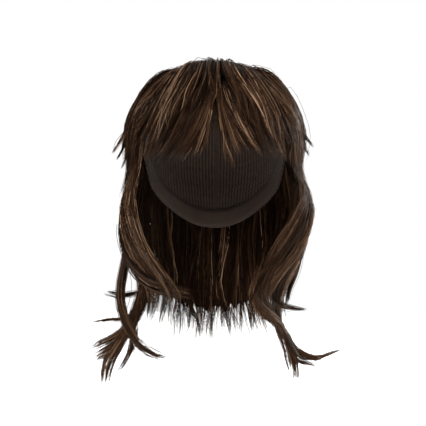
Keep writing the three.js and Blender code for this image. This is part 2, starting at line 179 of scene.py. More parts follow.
@dataclass(frozen=True)
class HeadForm:
    """The surface that the hair lies on: the outside of the cap, and below it the drape of the hair.

    The drape tables hold how far the innermost hair stands from the head's axis, as shares of its distance at
    the widest level. Rows go round from the back, 30 degrees apart, and columns are levels from the widest
    one down to the tips, evenly spaced.
    """

    half_width: float = 77.0 * MM
    half_length: float = 97.0 * MM
    crown_height: float = 95.0 * MM
    wall: float = 1.5 * MM
    whorl_tilt: float = 22.0
    hair_drop: float = 236.0 * MM
    row_angle: float = 30.0
    drape: dict[Side, tuple[tuple[float, ...], ...]] = field(
        default_factory=lambda: {
            Side.LEFT: (
                (1.0, 0.86, 0.79, 0.78, 0.84, 0.93),
                (1.0, 0.89, 0.82, 0.80, 0.86, 0.96),
                (1.0, 1.02, 0.98, 0.88, 0.93, 1.05),
                (1.0, 1.135, 1.11, 0.84, 0.92, 1.08),
                (1.0, 1.08, 1.00, 0.74, 0.85, 1.00),
            ),
            Side.RIGHT: (
                (1.0, 0.86, 0.79, 0.78, 0.84, 0.93),
                (1.0, 0.89, 0.82, 0.80, 0.86, 0.96),
                (1.0, 1.03, 0.98, 0.87, 0.92, 1.04),
                (1.0, 1.185, 1.08, 0.84, 0.90, 1.06),
                (1.0, 1.10, 0.96, 0.70, 0.82, 0.98),
            ),
        }
    )

    @property
    def radii(self) -> np.ndarray:
        """The cap's outer half width, half length and height over the widest level."""
        return np.array((self.half_width, self.half_length, self.crown_height)) + self.wall

    @property
    def depth(self) -> float:
        """The wig's whole depth, from inside the crown to the longest tips."""
        return self.crown_height + self.hair_drop

    @property
    def mean_radius(self) -> float:
        """The mean of the cap's half width and half length."""
        return float(self.radii[:2].mean())

    def share(self, azimuth: np.ndarray, drop: np.ndarray) -> np.ndarray:
        """Reads the drape tables.

        Args:
            azimuth: Degrees from the front, within half a turn.
            drop: Shares of the drop below the widest level.

        Returns:
            Shares of the distance from the axis at the widest level.
        """
        left, right = (np.array(self.drape[side]) for side in (Side.LEFT, Side.RIGHT))
        row = np.minimum((180.0 - np.abs(azimuth)) / self.row_angle, left.shape[0] - 1.0)
        levels = []
        for level in range(left.shape[1]):
            rows = np.where((azimuth < 0.0)[:, None], left[None, :, level], right[None, :, level])
            levels.append(along_values(rows, row))
        return along_values(np.stack(levels, axis=1), drop * (left.shape[1] - 1))

    def bed(self, azimuth: np.ndarray, along: np.ndarray) -> tuple[np.ndarray, np.ndarray]:
        """Finds points on the surface.

        Args:
            azimuth: Degrees from the front.
            along: Places along the meridian.

        Returns:
            The points and the outward unit normals, each in one row.
        """
        azimuth = (np.asarray(azimuth, dtype=float) + 180.0) % 360.0 - 180.0
        turn = np.radians(azimuth)
        radii = self.radii
        polar = np.pi / 2.0 * np.clip(along, 0.0, 1.0)
        tilt = math.radians(self.whorl_tilt) * (1.0 - ramp(along, 0.0, 1.0))
        x = np.sin(polar) * np.sin(turn)
        y = -np.sin(polar) * np.cos(turn)
        z = np.cos(polar)
        sphere = np.stack((x, y * np.cos(tilt) + z * np.sin(tilt), z * np.cos(tilt) - y * np.sin(tilt)), 1)
        dome = sphere * radii
        dome[:, 2] -= self.crown_height
        dome_normal = unit(sphere / radii)
        drop = np.maximum(along - 1.0, 0.0)
        reach = np.minimum(drop, 1.0)
        step = 0.01
        above = np.maximum(reach - step, 0.0)
        below = np.minimum(reach + step, 1.0)
        share = self.share(azimuth, reach)
        slope = (self.share(azimuth, below) - self.share(azimuth, above)) / (below - above)
        plan = np.stack((np.sin(turn) * radii[0], -np.cos(turn) * radii[1]), 1)
        out = unit(np.stack((np.sin(turn) / radii[0], -np.cos(turn) / radii[1]), 1))
        lean = slope * np.sum(out * plan, 1) / self.hair_drop
        drape = np.column_stack((plan * share[:, None], -self.crown_height - self.hair_drop * drop))
        drape_normal = unit(np.column_stack((out, lean)))
        on_dome = (np.asarray(along) <= 1.0)[:, None]
        return np.where(on_dome, dome, drape), np.where(on_dome, dome_normal, drape_normal)

    def off_bed(self, azimuth: np.ndarray, along: np.ndarray, offset: np.ndarray) -> np.ndarray:
        """Finds points at a distance off the surface.

        Args:
            azimuth: Degrees from the front, in any shape.
            along: Places along the meridian, in the same shape.
            offset: Distances outward, in the same shape.

        Returns:
            The points, with one more axis of three.
        """
        shape = np.broadcast(azimuth, along, offset).shape
        flat = [np.broadcast_to(a, shape).ravel() for a in (azimuth, along, offset)]
        point, normal = self.bed(flat[0], flat[1])
        return (point + normal * flat[2][:, None]).reshape(*shape, 3)


@dataclass(frozen=True)
class Stack:
    """How the layers lie over each other: thicknesses, roots, sectors and the gaps between them."""

    seat_gap: float = 1.6 * MM
    crown: float = 5.5 * MM
    crown_peak: float = 10.0 * MM
    crown_thinner: tuple[float, float] = (0.1, 0.5)
    fringe: float = 7.0 * MM
    temple: float = 4.5 * MM
    side: float = 9.0 * MM
    side_more: float = 4.0 * MM
    side_fuller: tuple[float, float] = (1.0, 1.22)
    nape: float = 6.0 * MM
    back: float = 6.0 * MM
    fringe_root: float = 0.42
    temple_root: float = 0.5
    side_root: float = 0.66
    back_root: float = 0.62
    nape_root: float = 0.92
    bare_nape: float = 0.08
    fringe_sector: tuple[float, float] = (1.2, 64.0)
    temple_sector: tuple[float, float] = (66.0, 119.0)
    side_sector: tuple[float, float] = (69.0, 119.0)
    back_sector: tuple[float, float] = (120.0, 180.0)
    temple_rise: tuple[float, float] = (0.14, 10.0)
    crown_rise: tuple[float, float] = (1.0, 25.0)

    def side_depth(self, along: np.ndarray) -> np.ndarray:
        """Gives the side hair's thickness, which is fuller below the ears."""
        return self.side + self.side_more * ramp(along, *self.side_fuller)

    def crown_depth(self, along: np.ndarray) -> np.ndarray:
        """Gives the crown hair's thickness, which is fullest at the whorl."""
        return mix(self.crown_peak, self.crown, ramp(along, *self.crown_thinner))

    def side_top(self, along: np.ndarray) -> np.ndarray:
        """Gives the seat of what lies on the side hair."""
        return self.side_depth(along) + 2.0 * self.seat_gap

    @property
    def nape_top(self) -> float:
        """The seat of what lies on the nape hair."""
        return self.nape + 2.0 * self.seat_gap

    @staticmethod
    def risen(
        azimuth: np.ndarray,
        along: np.ndarray,
        sector: tuple[float, float],
        root: float,
        reach: tuple[float, float],
    ) -> np.ndarray:
        """Says how far a layer has risen for a lower one: 1 over it, 0 beyond the rise's reach.

        Args:
            azimuth: Degrees from the front.
            along: Places along the meridian.
            sector: Azimuths that the lower layer covers.
            root: Where the lower layer starts.
            reach: How far before the lower layer the rise starts, along the meridian and in degrees.

        Returns:
            Shares from 0 to 1.
        """
        at = np.abs(azimuth)
        front = ramp(at, sector[0] - reach[1], sector[0])
        back = 1.0 - ramp(at, sector[1], sector[1] + reach[1])
        return front * back * ramp(along, max(root - reach[0], 0.0), root)

    def seat(self, azimuth: np.ndarray, along: np.ndarray) -> np.ndarray:
        """Gives the seat of a layer that lies straight on the cap."""
        return np.full(np.broadcast(azimuth, along).shape, self.seat_gap)

    def temple_lift(self, azimuth: np.ndarray, along: np.ndarray) -> np.ndarray:
        """Gives the seat of the temple hair, which climbs over the side hair."""
        over = self.risen(azimuth, along, (self.side_sector[0], 180.0), self.side_root, self.temple_rise)
        return mix(self.seat_gap, self.side_top(along), over)

    def back_lift(self, azimuth: np.ndarray, along: np.ndarray) -> np.ndarray:
        """Gives the seat of the back hair, which climbs over the nape hair."""
        return mix(self.seat_gap, self.nape_top, ramp(along, self.back_root, self.nape_root - self.bare_nape))

    def crown_lift(self, azimuth: np.ndarray, along: np.ndarray) -> np.ndarray:
        """Gives the seat of the crown hair, which lies over all the other layers.

        Args:
            azimuth: Degrees from the front.
            along: Places along the meridian.

        Returns:
            Distances off the cap.
        """
        tops = (
            (self.fringe + 2.0 * self.seat_gap, self.fringe_sector, self.fringe_root),
            (self.side_top(along) + self.temple + self.seat_gap, self.temple_sector, self.temple_root),
            (self.nape_top + self.back + self.seat_gap, self.back_sector, self.back_root),
        )
        lift = self.seat(azimuth, along)
        for top, sector, root in tops:
            lift = np.maximum(lift, top * self.risen(azimuth, along, sector, root, self.crown_rise))
        return lift


def even(thickness: float) -> Depth:
    """Makes a thickness that is the same at every place along the meridian."""
    return lambda along: thickness + 0.0 * along


@dataclass
class Strands:
    """A bundle of strands that have equally many points each.

    Attributes:
        paths: Points, as strands by points by three.
        widths: Width of each strand at its fullest.
        tones: Tone of each strand, from 0, darkest, to 1, lightest.
    """

    paths: np.ndarray
    widths: np.ndarray
    tones: np.ndarray

    CORNERS = 3
    TONE_BAND = 0.004
    WHORL_RISE = 0.02

    def surface(self) -> tuple[np.ndarray, np.ndarray, np.ndarray, np.ndarray]:
        """Makes each strand a closed three-sided prism that is drawn out to a point.

        Returns:
            Vertices, quads, triangles and the UV of each corner of the quads and then of the triangles.
        """
        count, points, _ = self.paths.shape
        rings = points - 1
        tangent = unit(np.gradient(self.paths, axis=1))[:, :rings]
        outward = self.paths[:, :rings] * (1.0, 1.0, 0.0) + (0.0, 0.0, self.WHORL_RISE)
        across = unit(np.cross(tangent, outward))
        other = np.cross(across, tangent)
        t = np.linspace(0.0, 1.0, points)[:rings]
        radius = 0.5 * self.widths[:, None] * STRAND_TAPER.at(t)[None, :]
        ring = []
        for corner in range(self.CORNERS):
            angle = 2.0 * math.pi * corner / self.CORNERS
            aside = across * math.cos(angle) + other * math.sin(angle)
            ring.append(self.paths[:, :rings] + aside * radius[..., None])
        body = np.stack(ring, axis=2).reshape(count, rings * self.CORNERS, 3)
        vertices = np.concatenate((body, self.paths[:, -1:]), axis=1)
        stride = rings * self.CORNERS + 1
        quads, quad_v, tri, tri_v = [], [], [], []
        last = (rings - 1) * self.CORNERS
        for corner in range(self.CORNERS):
            turn = (corner + 1) % self.CORNERS
            for i in range(rings - 1):
                a = i * self.CORNERS
                quads.append((a + corner, a + turn, a + self.CORNERS + turn, a + self.CORNERS + corner))
                quad_v.append(((corner, i), (corner + 1, i), (corner + 1, i + 1), (corner, i + 1)))
            tri.append((last + corner, last + turn, stride - 1))
            tri_v.append(((corner, rings - 1), (corner + 1, rings - 1), (corner + 0.5, rings)))
        tri.append((0, 2, 1))
        tri_v.append(((0, 0), (1, 0.5), (1, 0)))
        shift = (np.arange(count) * stride)[:, None, None]
        tone = self.tones[:, None, None] * (1.0 - 2.0 * self.TONE_BAND) + self.TONE_BAND / 2.0

        def unwrap(rows: list) -> np.ndarray:
            """Places the corners of each strand's faces in its own narrow column of the UV map.

            Args:
                rows: Corner and ring of each corner of one strand's faces.

            Returns:
                The UV of each corner of all strands' faces.
            """
            spot = np.array(rows, dtype=float)[None]
            u = tone + spot[..., 0] * self.TONE_BAND / self.CORNERS
            v = np.broadcast_to(spot[..., 1] / rings, u.shape)
            return np.stack((u, v), axis=-1).reshape(-1, 2)

        return (
            vertices.reshape(-1, 3),
            (np.array(quads)[None] + shift).reshape(-1, 4),
            (np.array(tri)[None] + shift).reshape(-1, 3),
            np.concatenate((unwrap(quad_v), unwrap(tri_v))),
        )


class MeshMaker:
    """Collects faces from several bundles and sheets into one mesh."""

    CELL = 0.002

    def __init__(self) -> None:
        """Starts an empty mesh."""
        self.vertices: list[np.ndarray] = []
        self.quads: list[np.ndarray] = []
        self.triangles: list[np.ndarray] = []
        self.quad_uvs: list[np.ndarray] = []
        self.triangle_uvs: list[np.ndarray] = []
        self.count = 0

    def add(
        self, vertices: np.ndarray, quads: np.ndarray, triangles: np.ndarray, uvs: np.ndarray
    ) -> None:
        """Adds faces.

        Args:
            vertices: Points in rows.
            quads: Rows of four indices into them.
            triangles: Rows of three indices into them.
            uvs: UV of each corner of the quads and then of the triangles.
        """
        self.vertices.append(vertices)
        self.quads.append(quads + self.count)
        self.triangles.append(triangles + self.count)
        self.quad_uvs.append(uvs[: quads.size])
        self.triangle_uvs.append(uvs[quads.size :])
        self.count += len(vertices)

    def add_strands(self, strands: Strands) -> None:
        """Adds a bundle of strands."""
        self.add(*strands.surface())

    def add_sheet(self, outer: np.ndarray, inner: np.ndarray, tones: np.ndarray, closed: bool) -> None:
        """Adds a closed sheet between two grids of points.

        Args:
            outer: Outer points, as columns by rows by three.
            inner: Inner points, likewise.
            tones: Tone of each column, read along the UV map's width.
            closed: Whether the last column meets the first one.
        """
        columns, rows, _ = outer.shape
        size = columns * rows
        index = np.arange(size).reshape(columns, rows)
        i = np.arange(columns if closed else columns - 1)
        n = (i + 1) % columns
        j = np.arange(rows - 1)
        a, b = index[i][:, j], index[i][:, j + 1]
        c, d = index[n][:, j + 1], index[n][:, j]
        front = np.stack((a, b, c, d), -1).reshape(-1, 4)
        back = np.stack((a, d, c, b), -1).reshape(-1, 4) + size
        last = rows - 1
        top = np.stack((index[i, 0], index[n, 0], index[n, 0] + size, index[i, 0] + size), -1)
        foot = np.stack((index[i, last], index[i, last] + size, index[n, last] + size, index[n, last]), -1)
        quads = [front, back, top, foot]
        if not closed:
            for column, flip in ((0, False), (columns - 1, True)):
                p, q = index[column, :-1], index[column, 1:]
                order = (p, q, q + size, p + size) if flip else (p, p + size, q + size, q)
                quads.append(np.stack(order, -1))
        faces = np.concatenate(quads)
        u = np.repeat(np.clip(tones, 0.0, 1.0), rows)
        v = np.tile(np.linspace(0.0, 1.0, rows), columns)
        both = np.tile(np.stack((u, v), 1), (2, 1))
        spread = ((0.0, 0.0), (0.0, self.CELL), (self.CELL, self.CELL), (self.CELL, 0.0))
        uvs = both[faces.ravel()] + np.tile(spread, (len(faces), 1))
        self.add(
            np.concatenate((outer.reshape(-1, 3), inner.reshape(-1, 3))), faces, np.zeros((0, 3), int), uvs
        )

    def build(self, name: str, material: bpy.types.Material) -> bpy.types.Object:
        """Makes the object.

        Args:
            name: Name of the object.
            material: What it is made of.

        Returns:
            The object, linked to the scene.
        """
        vertices = np.concatenate(self.vertices)
        quads = np.concatenate(self.quads)
        triangles = np.concatenate(self.triangles)
        corners = np.concatenate((quads.ravel(), triangles.ravel()))
        sizes = np.concatenate((np.full(len(quads), 4), np.full(len(triangles), 3)))
        mesh = bpy.data.meshes.new(name)
        mesh.vertices.add(len(vertices))
        mesh.vertices.foreach_set("co", vertices.astype(np.float32).ravel())
        mesh.loops.add(len(corners))
        mesh.loops.foreach_set("vertex_index", corners.astype(np.int32))
        mesh.polygons.add(len(sizes))
        starts = np.concatenate(((0,), np.cumsum(sizes)[:-1]))
        mesh.polygons.foreach_set("loop_start", starts.astype(np.int32))
        mesh.polygons.foreach_set("use_smooth", np.ones(len(sizes), dtype=bool))
        mesh.update(calc_edges=True)
        layer = mesh.uv_layers.new(name=UV_NAME)
        uvs = np.concatenate(self.quad_uvs + self.triangle_uvs)
        layer.data.foreach_set("uv", uvs.astype(np.float32).ravel())
        mesh.materials.append(material)
        thing = bpy.data.objects.new(name, mesh)
        bpy.context.scene.collection.objects.link(thing)
        count = 2 * len(quads) + len(triangles)
        LOG.info("%s: %d triangles", name, count)
        return thing


@dataclass(frozen=True)
class Comb:
    """How the strands of a layer are gathered into tufts and locks and how they stray.

    Attributes:
        strands: How many strands.
        points: Points of each strand.
        pitch: Distance between neighbouring locks.
        tufts: Tufts in each lock.
        pinch: Share of a lock's width that is drawn in at its tip.
        ragged: How unevenly the locks end.
        stray: How unevenly the tufts of a lock end.
        thinning: How unevenly the strands of a tuft end, as a share of that.
        wave: How far a lock swings to both sides.
        frizz: How far a strand swings to both sides.
        drift: How far the tips of a tuft drift to either side.
        flick: How far tips turn outward, at most.
        root_spread: How far along the meridian the roots are spread.
        haste: Under 1, strands drop fast at first and run sideways at their tips.
        settle: How far tips sink towards the layer below, as a share of the seat.
        width: Width of a strand.
    """

    strands: int
    points: int
    pitch: float = 11.0 * MM
    tufts: int = 10
    pinch: float = 0.5
    ragged: float = 12.0 * MM
    stray: float = 12.0 * MM
    thinning: float = 0.55
    wave: float = 3.0 * MM
    frizz: float = 0.7 * MM
    drift: float = 4.0 * MM
    flick: float = 4.0 * MM
    root_spread: float = 0.05
    haste: float = 1.0
    settle: float = 0.0
    width: float = 0.55 * MM


@dataclass(frozen=True)
class Unevenness:
    """How unlike each other locks, tufts and strands are: even ranges, and single standard deviations.

    Attributes:
        lock_shift: How far a lock hangs off its place, as a share of the pitch.
        lock_pace: Range of the waves of a lock, in radians for each unit along the meridian.
        lock_flick: Range of a lock's share of the comb's flick.
        lock_pinch: Range of a lock's share of the comb's pinch.
        lock_bulk: Range of a lock's share of the layer's thickness.
        lock_tone: How unlike locks are in tone.
        tuft_swing: How far a tuft swings on its own, as a share of the comb's wave.
        tuft_pace: Range of its waves.
        tuft_flick: How unlike the flicks of tufts are, as a share of the comb's flick.
        tuft_tone: How unlike tufts are in tone.
        painted_inner_shade: Painted shade, how much lighter the outermost tufts are than the innermost ones.
        overshoot: How far the longest tufts pass the lock's end, as a share of the stray.
        strand_pace: Range of the waves of a strand.
        strand_tone: How unlike strands are in tone.
        strand_width: Range of a strand's share of the comb's width.
        stray_share: Share of strands that leave their tuft.
        stray_reach: How many times further than others those stand from it.
    """

    lock_shift: float = 0.22
    lock_pace: tuple[float, float] = (8.0, 13.0)
    lock_flick: tuple[float, float] = (-0.3, 1.0)
    lock_pinch: tuple[float, float] = (0.5, 1.3)
    lock_bulk: tuple[float, float] = (0.72, 1.0)
    lock_tone: float = 0.06
    tuft_swing: float = 0.45
    tuft_pace: tuple[float, float] = (10.0, 17.0)
    tuft_flick: float = 0.35
    tuft_tone: float = 0.095
    painted_inner_shade: float = 0.3
    overshoot: float = 0.4
    strand_pace: tuple[float, float] = (8.0, 20.0)
    strand_tone: float = 0.19
    strand_width: tuple[float, float] = (0.7, 1.15)
    stray_share: float = 0.03
    stray_reach: float = 2.6

    def strays(self, count: int, rng: np.random.Generator) -> np.ndarray:
        """Draws how many times further than others each strand stands from its tuft."""
        return np.where(rng.uniform(0.0, 1.0, count) < self.stray_share, self.stray_reach, 1.0)


@dataclass
class HairLayer:
    """A layer of hair that is sewn to the cap at its root and lies on what is under it.

    Attributes:
        node: The solid that it stands for.
        sector: Azimuths that it covers.
        root: Where it starts along the meridian.
        hem: Where it ends.
        thickness: Its thickness at places along the meridian.
        lift: Its seat.
        comb: How it is combed.
        lean: Degrees that strands turn from their lock's azimuth, from azimuth, place and share of length.
        tone: Mean tone of its strands.
        part: Added to the node's name, where a node is dressed in several pieces.
        dense: Share of its length down to which the layer is too dense to see through.
        thin_edge: How much less of its length that is at both edges of its sector.

    The values in capitals are the same for all layers. SHORTEST is the shortest strand, along the meridian.
    SWELL says where strands start to swing and do so fully, and PINCHED where locks draw in. GATHERED is
    how wide tufts are at the root, in the middle and, on top of that, at the tip. FLATTEST is how thin a
    lock gets at its sides. Roots stand SEWN of the cap's wall off it and tufts sink SUNK into their seat
    at most. DEEP is the share of unevenness that goes into the depth. PRESSED is the share of depth at the
    root and where that ends. The BED values are those of the sheet of dense hair, whose near-black colour
    is painted shade between the strands, and EDGE is the share of it that thins at each edge.
    """

    node: str
    sector: tuple[float, float]
    root: float
    hem: Hem
    thickness: Depth
    lift: Curve
    comb: Comb
    lean: Optional[Lean] = None
    tone: float = 0.47
    part: str = ""
    dense: float = 0.7
    thin_edge: float = 0.0

    UNEVEN = Unevenness()
    TUFT_RADIUS = 1.3 * MM
    SHORTEST = 0.15
    SWELL = (0.08, 0.8)
    PINCHED = (0.3, 1.0)
    GATHERED = (1.3, 0.9, 0.85)
    FLATTEST = 0.12
    SEWN = 0.4
    SUNK = 1.2 * MM
    DEEP = 0.6
    PRESSED = (0.35, 0.12)
    FLICK_FROM = 0.7
    FLICK_BEND = 1.5
    BED_PITCH = 1.4 * MM
    BED_ROWS = 13
    BED_DEPTH = (0.36, 0.46)
    BED_RIPPLE = 0.12
    BED_INSET = 0.02
    BED_RAGGED = (-1.0, 0.3)
    BED_TONES = (0.05, 0.45)
    EDGE = 0.15

    def turn(self, azimuth: np.ndarray, along: np.ndarray, t: np.ndarray) -> np.ndarray:
        """Gives the degrees that hair turns from the azimuth of its lock."""
        return self.lean(azimuth, along, t) if self.lean else np.zeros(np.broadcast(azimuth, along, t).shape)

    def strands(self, head: HeadForm, rng: np.random.Generator) -> Strands:
        """Combs the layer's strands: strands into tufts, and tufts into locks.

        Args:
            head: The surface under the hair.
            rng: Source of all unevenness.

        Returns:
            The strands.
        """
        comb = self.comb
        uneven = self.UNEVEN
        degree = math.radians(1.0) * head.mean_radius
        low, high = self.sector

        # Locks
        locks = max(3, round((high - low) * degree / comb.pitch))
        pitch = (high - low) / locks
        shift = rng.uniform(-uneven.lock_shift, uneven.lock_shift, locks)
        centre = low + pitch * (np.arange(locks) + 0.5 + shift)
        lock_end = self.hem.at(centre) + rng.normal(0.0, comb.ragged / head.hair_drop, locks)
        lock_swing = rng.normal(0.0, comb.wave, locks)
        lock_pace = rng.uniform(*uneven.lock_pace, locks)
        lock_phase = rng.uniform(0.0, math.tau, locks)
        lock_flick = rng.uniform(*uneven.lock_flick, locks) * comb.flick
        lock_tone = rng.normal(self.tone, uneven.lock_tone, locks)
        lock_bulk = rng.uniform(*uneven.lock_bulk, locks)
        lock_pinch = rng.uniform(*uneven.lock_pinch, locks) * comb.pinch

        # Tufts, each in its home lock
        home = np.repeat(np.arange(locks), comb.tufts)
        tufts = len(home)
        tuft_aside = rng.uniform(-1.0, 1.0, tufts)
        tuft_depth = rng.uniform(0.0, 1.0, tufts)
        shortfall = np.abs(rng.normal(0.0, 1.0, tufts)) - uneven.overshoot
        tuft_end = lock_end[home] - shortfall * comb.stray / head.hair_drop
        tuft_swing = rng.normal(0.0, uneven.tuft_swing * comb.wave, (tufts, 2))
        tuft_pace = rng.uniform(*uneven.tuft_pace, tufts)
        tuft_phase = rng.uniform(0.0, math.tau, (tufts, 2))
        tuft_flick = lock_flick[home] + rng.normal(0.0, uneven.tuft_flick * comb.flick, tufts)
        tuft_drift = rng.normal(0.0, comb.drift, tufts)
        tuft_tone = lock_tone[home] + rng.normal(0.0, uneven.tuft_tone, tufts)
        # Painted shade: tufts deep in the layer are darker, outer ones lighter.
        tuft_tone = tuft_tone + uneven.painted_inner_shade * (tuft_depth - 0.5)

        # Strands, each in a tuft
        count = comb.strands
        tuft = rng.integers(0, tufts, count)
        lock = home[tuft]
        stray = uneven.strays(count, rng)
        own = rng.normal(0.0, self.TUFT_RADIUS, (count, 2)) * stray[:, None]
        frizz = rng.normal(0.0, comb.frizz, (count, 2)) * stray[:, None]
        pace = rng.uniform(*uneven.strand_pace, (count, 2))
        phase = rng.uniform(0.0, math.tau, (count, 2))
        begin = self.root + comb.root_spread * rng.uniform(0.0, 1.0, count)
        thin = np.abs(rng.normal(0.0, comb.thinning, count))
        end = tuft_end[tuft] - (thin - 0.5 * comb.thinning) * comb.stray / head.hair_drop
        end = np.maximum(end, begin + self.SHORTEST)

        # Where they run round the head
        t = np.linspace(0.0, 1.0, comb.points)[None, :]
        along = mix(begin[:, None], end[:, None], t**comb.haste)
        swell = ramp(t, *self.SWELL)
        draw = 1.0 - lock_pinch[lock][:, None] * ramp(t, *self.PINCHED)
        root_width, middle_width, tip_width = self.GATHERED
        close = mix(root_width, middle_width, ramp(t, 0.0, 0.5)) * mix(1.0, tip_width, ramp(t, 0.6, 1.0))
        aside = 0.5 * pitch * tuft_aside[tuft][:, None] * draw + own[:, :1] * close / degree
        pull = np.sin(lock_pace[lock][:, None] * along + lock_phase[lock][:, None])
        swing = lock_swing[lock][:, None] * pull
        bend = tuft_pace[tuft][:, None] * along
        swing = swing + tuft_swing[tuft, :1] * np.sin(bend + tuft_phase[tuft, :1])
        swing = swing + tuft_drift[tuft][:, None] * ramp(t, 0.5, 1.0)
        waver = frizz[:, :1] * np.sin(pace[:, :1] * along + phase[:, :1])
        straight = np.clip(centre[lock][:, None] + aside, low, high)
        azimuth = straight + (swing + waver) * swell / degree
        azimuth = azimuth + self.turn(straight, along, t)

        # How far they stand off it
        round_off = np.sqrt(np.clip(1.0 - tuft_aside**2, self.FLATTEST, 1.0))
        share = (tuft_depth * mix(1.0, round_off, tuft_depth) * lock_bulk[home])[tuft][:, None]
        bottom = np.where(t == 0.0, self.SEWN * head.wall, self.lift(azimuth, along))
        bottom = bottom * (1.0 - comb.settle * ramp(t, 0.5, 1.0))
        depth = self.thickness(along) * LAYER_TAPER.at(t) * share + self.DEEP * own[:, 1:] * close
        depth = depth + (self.DEEP * tuft_swing[tuft, 1:] * np.sin(bend + tuft_phase[tuft, 1:])) * swell
        depth = depth + self.DEEP * frizz[:, 1:] * np.sin(pace[:, 1:] * along + phase[:, 1:]) * swell
        pressed, until = self.PRESSED
        depth = depth * mix(pressed, 1.0, ramp(t, 0.0, until))
        depth = depth + tuft_flick[tuft][:, None] * ramp(t, self.FLICK_FROM, 1.0) ** self.FLICK_BEND
        paths = head.off_bed(azimuth, along, bottom + np.maximum(depth, -self.SUNK))
        tones = np.clip(tuft_tone[tuft] + rng.normal(0.0, uneven.strand_tone, count), 0.0, 1.0)
        widths = comb.width * rng.uniform(*uneven.strand_width, count)
        return Strands(paths, widths, tones)

    def bed(self, maker: MeshMaker, head: HeadForm, rng: np.random.Generator) -> None:
        """Adds the thin rippled sheet of dense hair in the middle of the layer, near black as painted shade.

        Args:
            maker: Where the sheet goes.
            head: The surface under the hair.
            rng: Source of all unevenness.
        """
        low, high = self.sector
        inset = self.BED_INSET * (high - low)
        columns = max(4, round(math.radians(high - low) * head.mean_radius / self.BED_PITCH))
        azimuth = np.linspace(low + inset, high - inset, columns)[:, None]
        ragged = self.comb.ragged / head.hair_drop
        edge = ramp(np.abs(azimuth - 0.5 * (low + high)) / (high - low), 0.5 - self.EDGE, 0.5)
        end = self.root + (self.hem.at(azimuth) - self.root) * (self.dense - self.thin_edge * edge)
        end = end + rng.uniform(*self.BED_RAGGED, azimuth.shape) * ragged
        t = np.linspace(0.0, 1.0, self.BED_ROWS)[None, :]
        along = mix(self.root, end, t)
        azimuth = azimuth + self.turn(azimuth, along, t)
        bottom = self.lift(azimuth, along)
        full = self.thickness(along) * LAYER_TAPER.at(t)
        ripple = rng.uniform(-self.BED_RIPPLE, self.BED_RIPPLE, (columns, 1))
        inner, outer = (
            head.off_bed(azimuth, along, bottom + full * (depth + ripple)) for depth in self.BED_DEPTH
        )
        # Painted shade: the sheet takes the darkest tones of the shaded-depths material.
        maker.add_sheet(outer, inner, rng.uniform(*self.BED_TONES, columns), False)


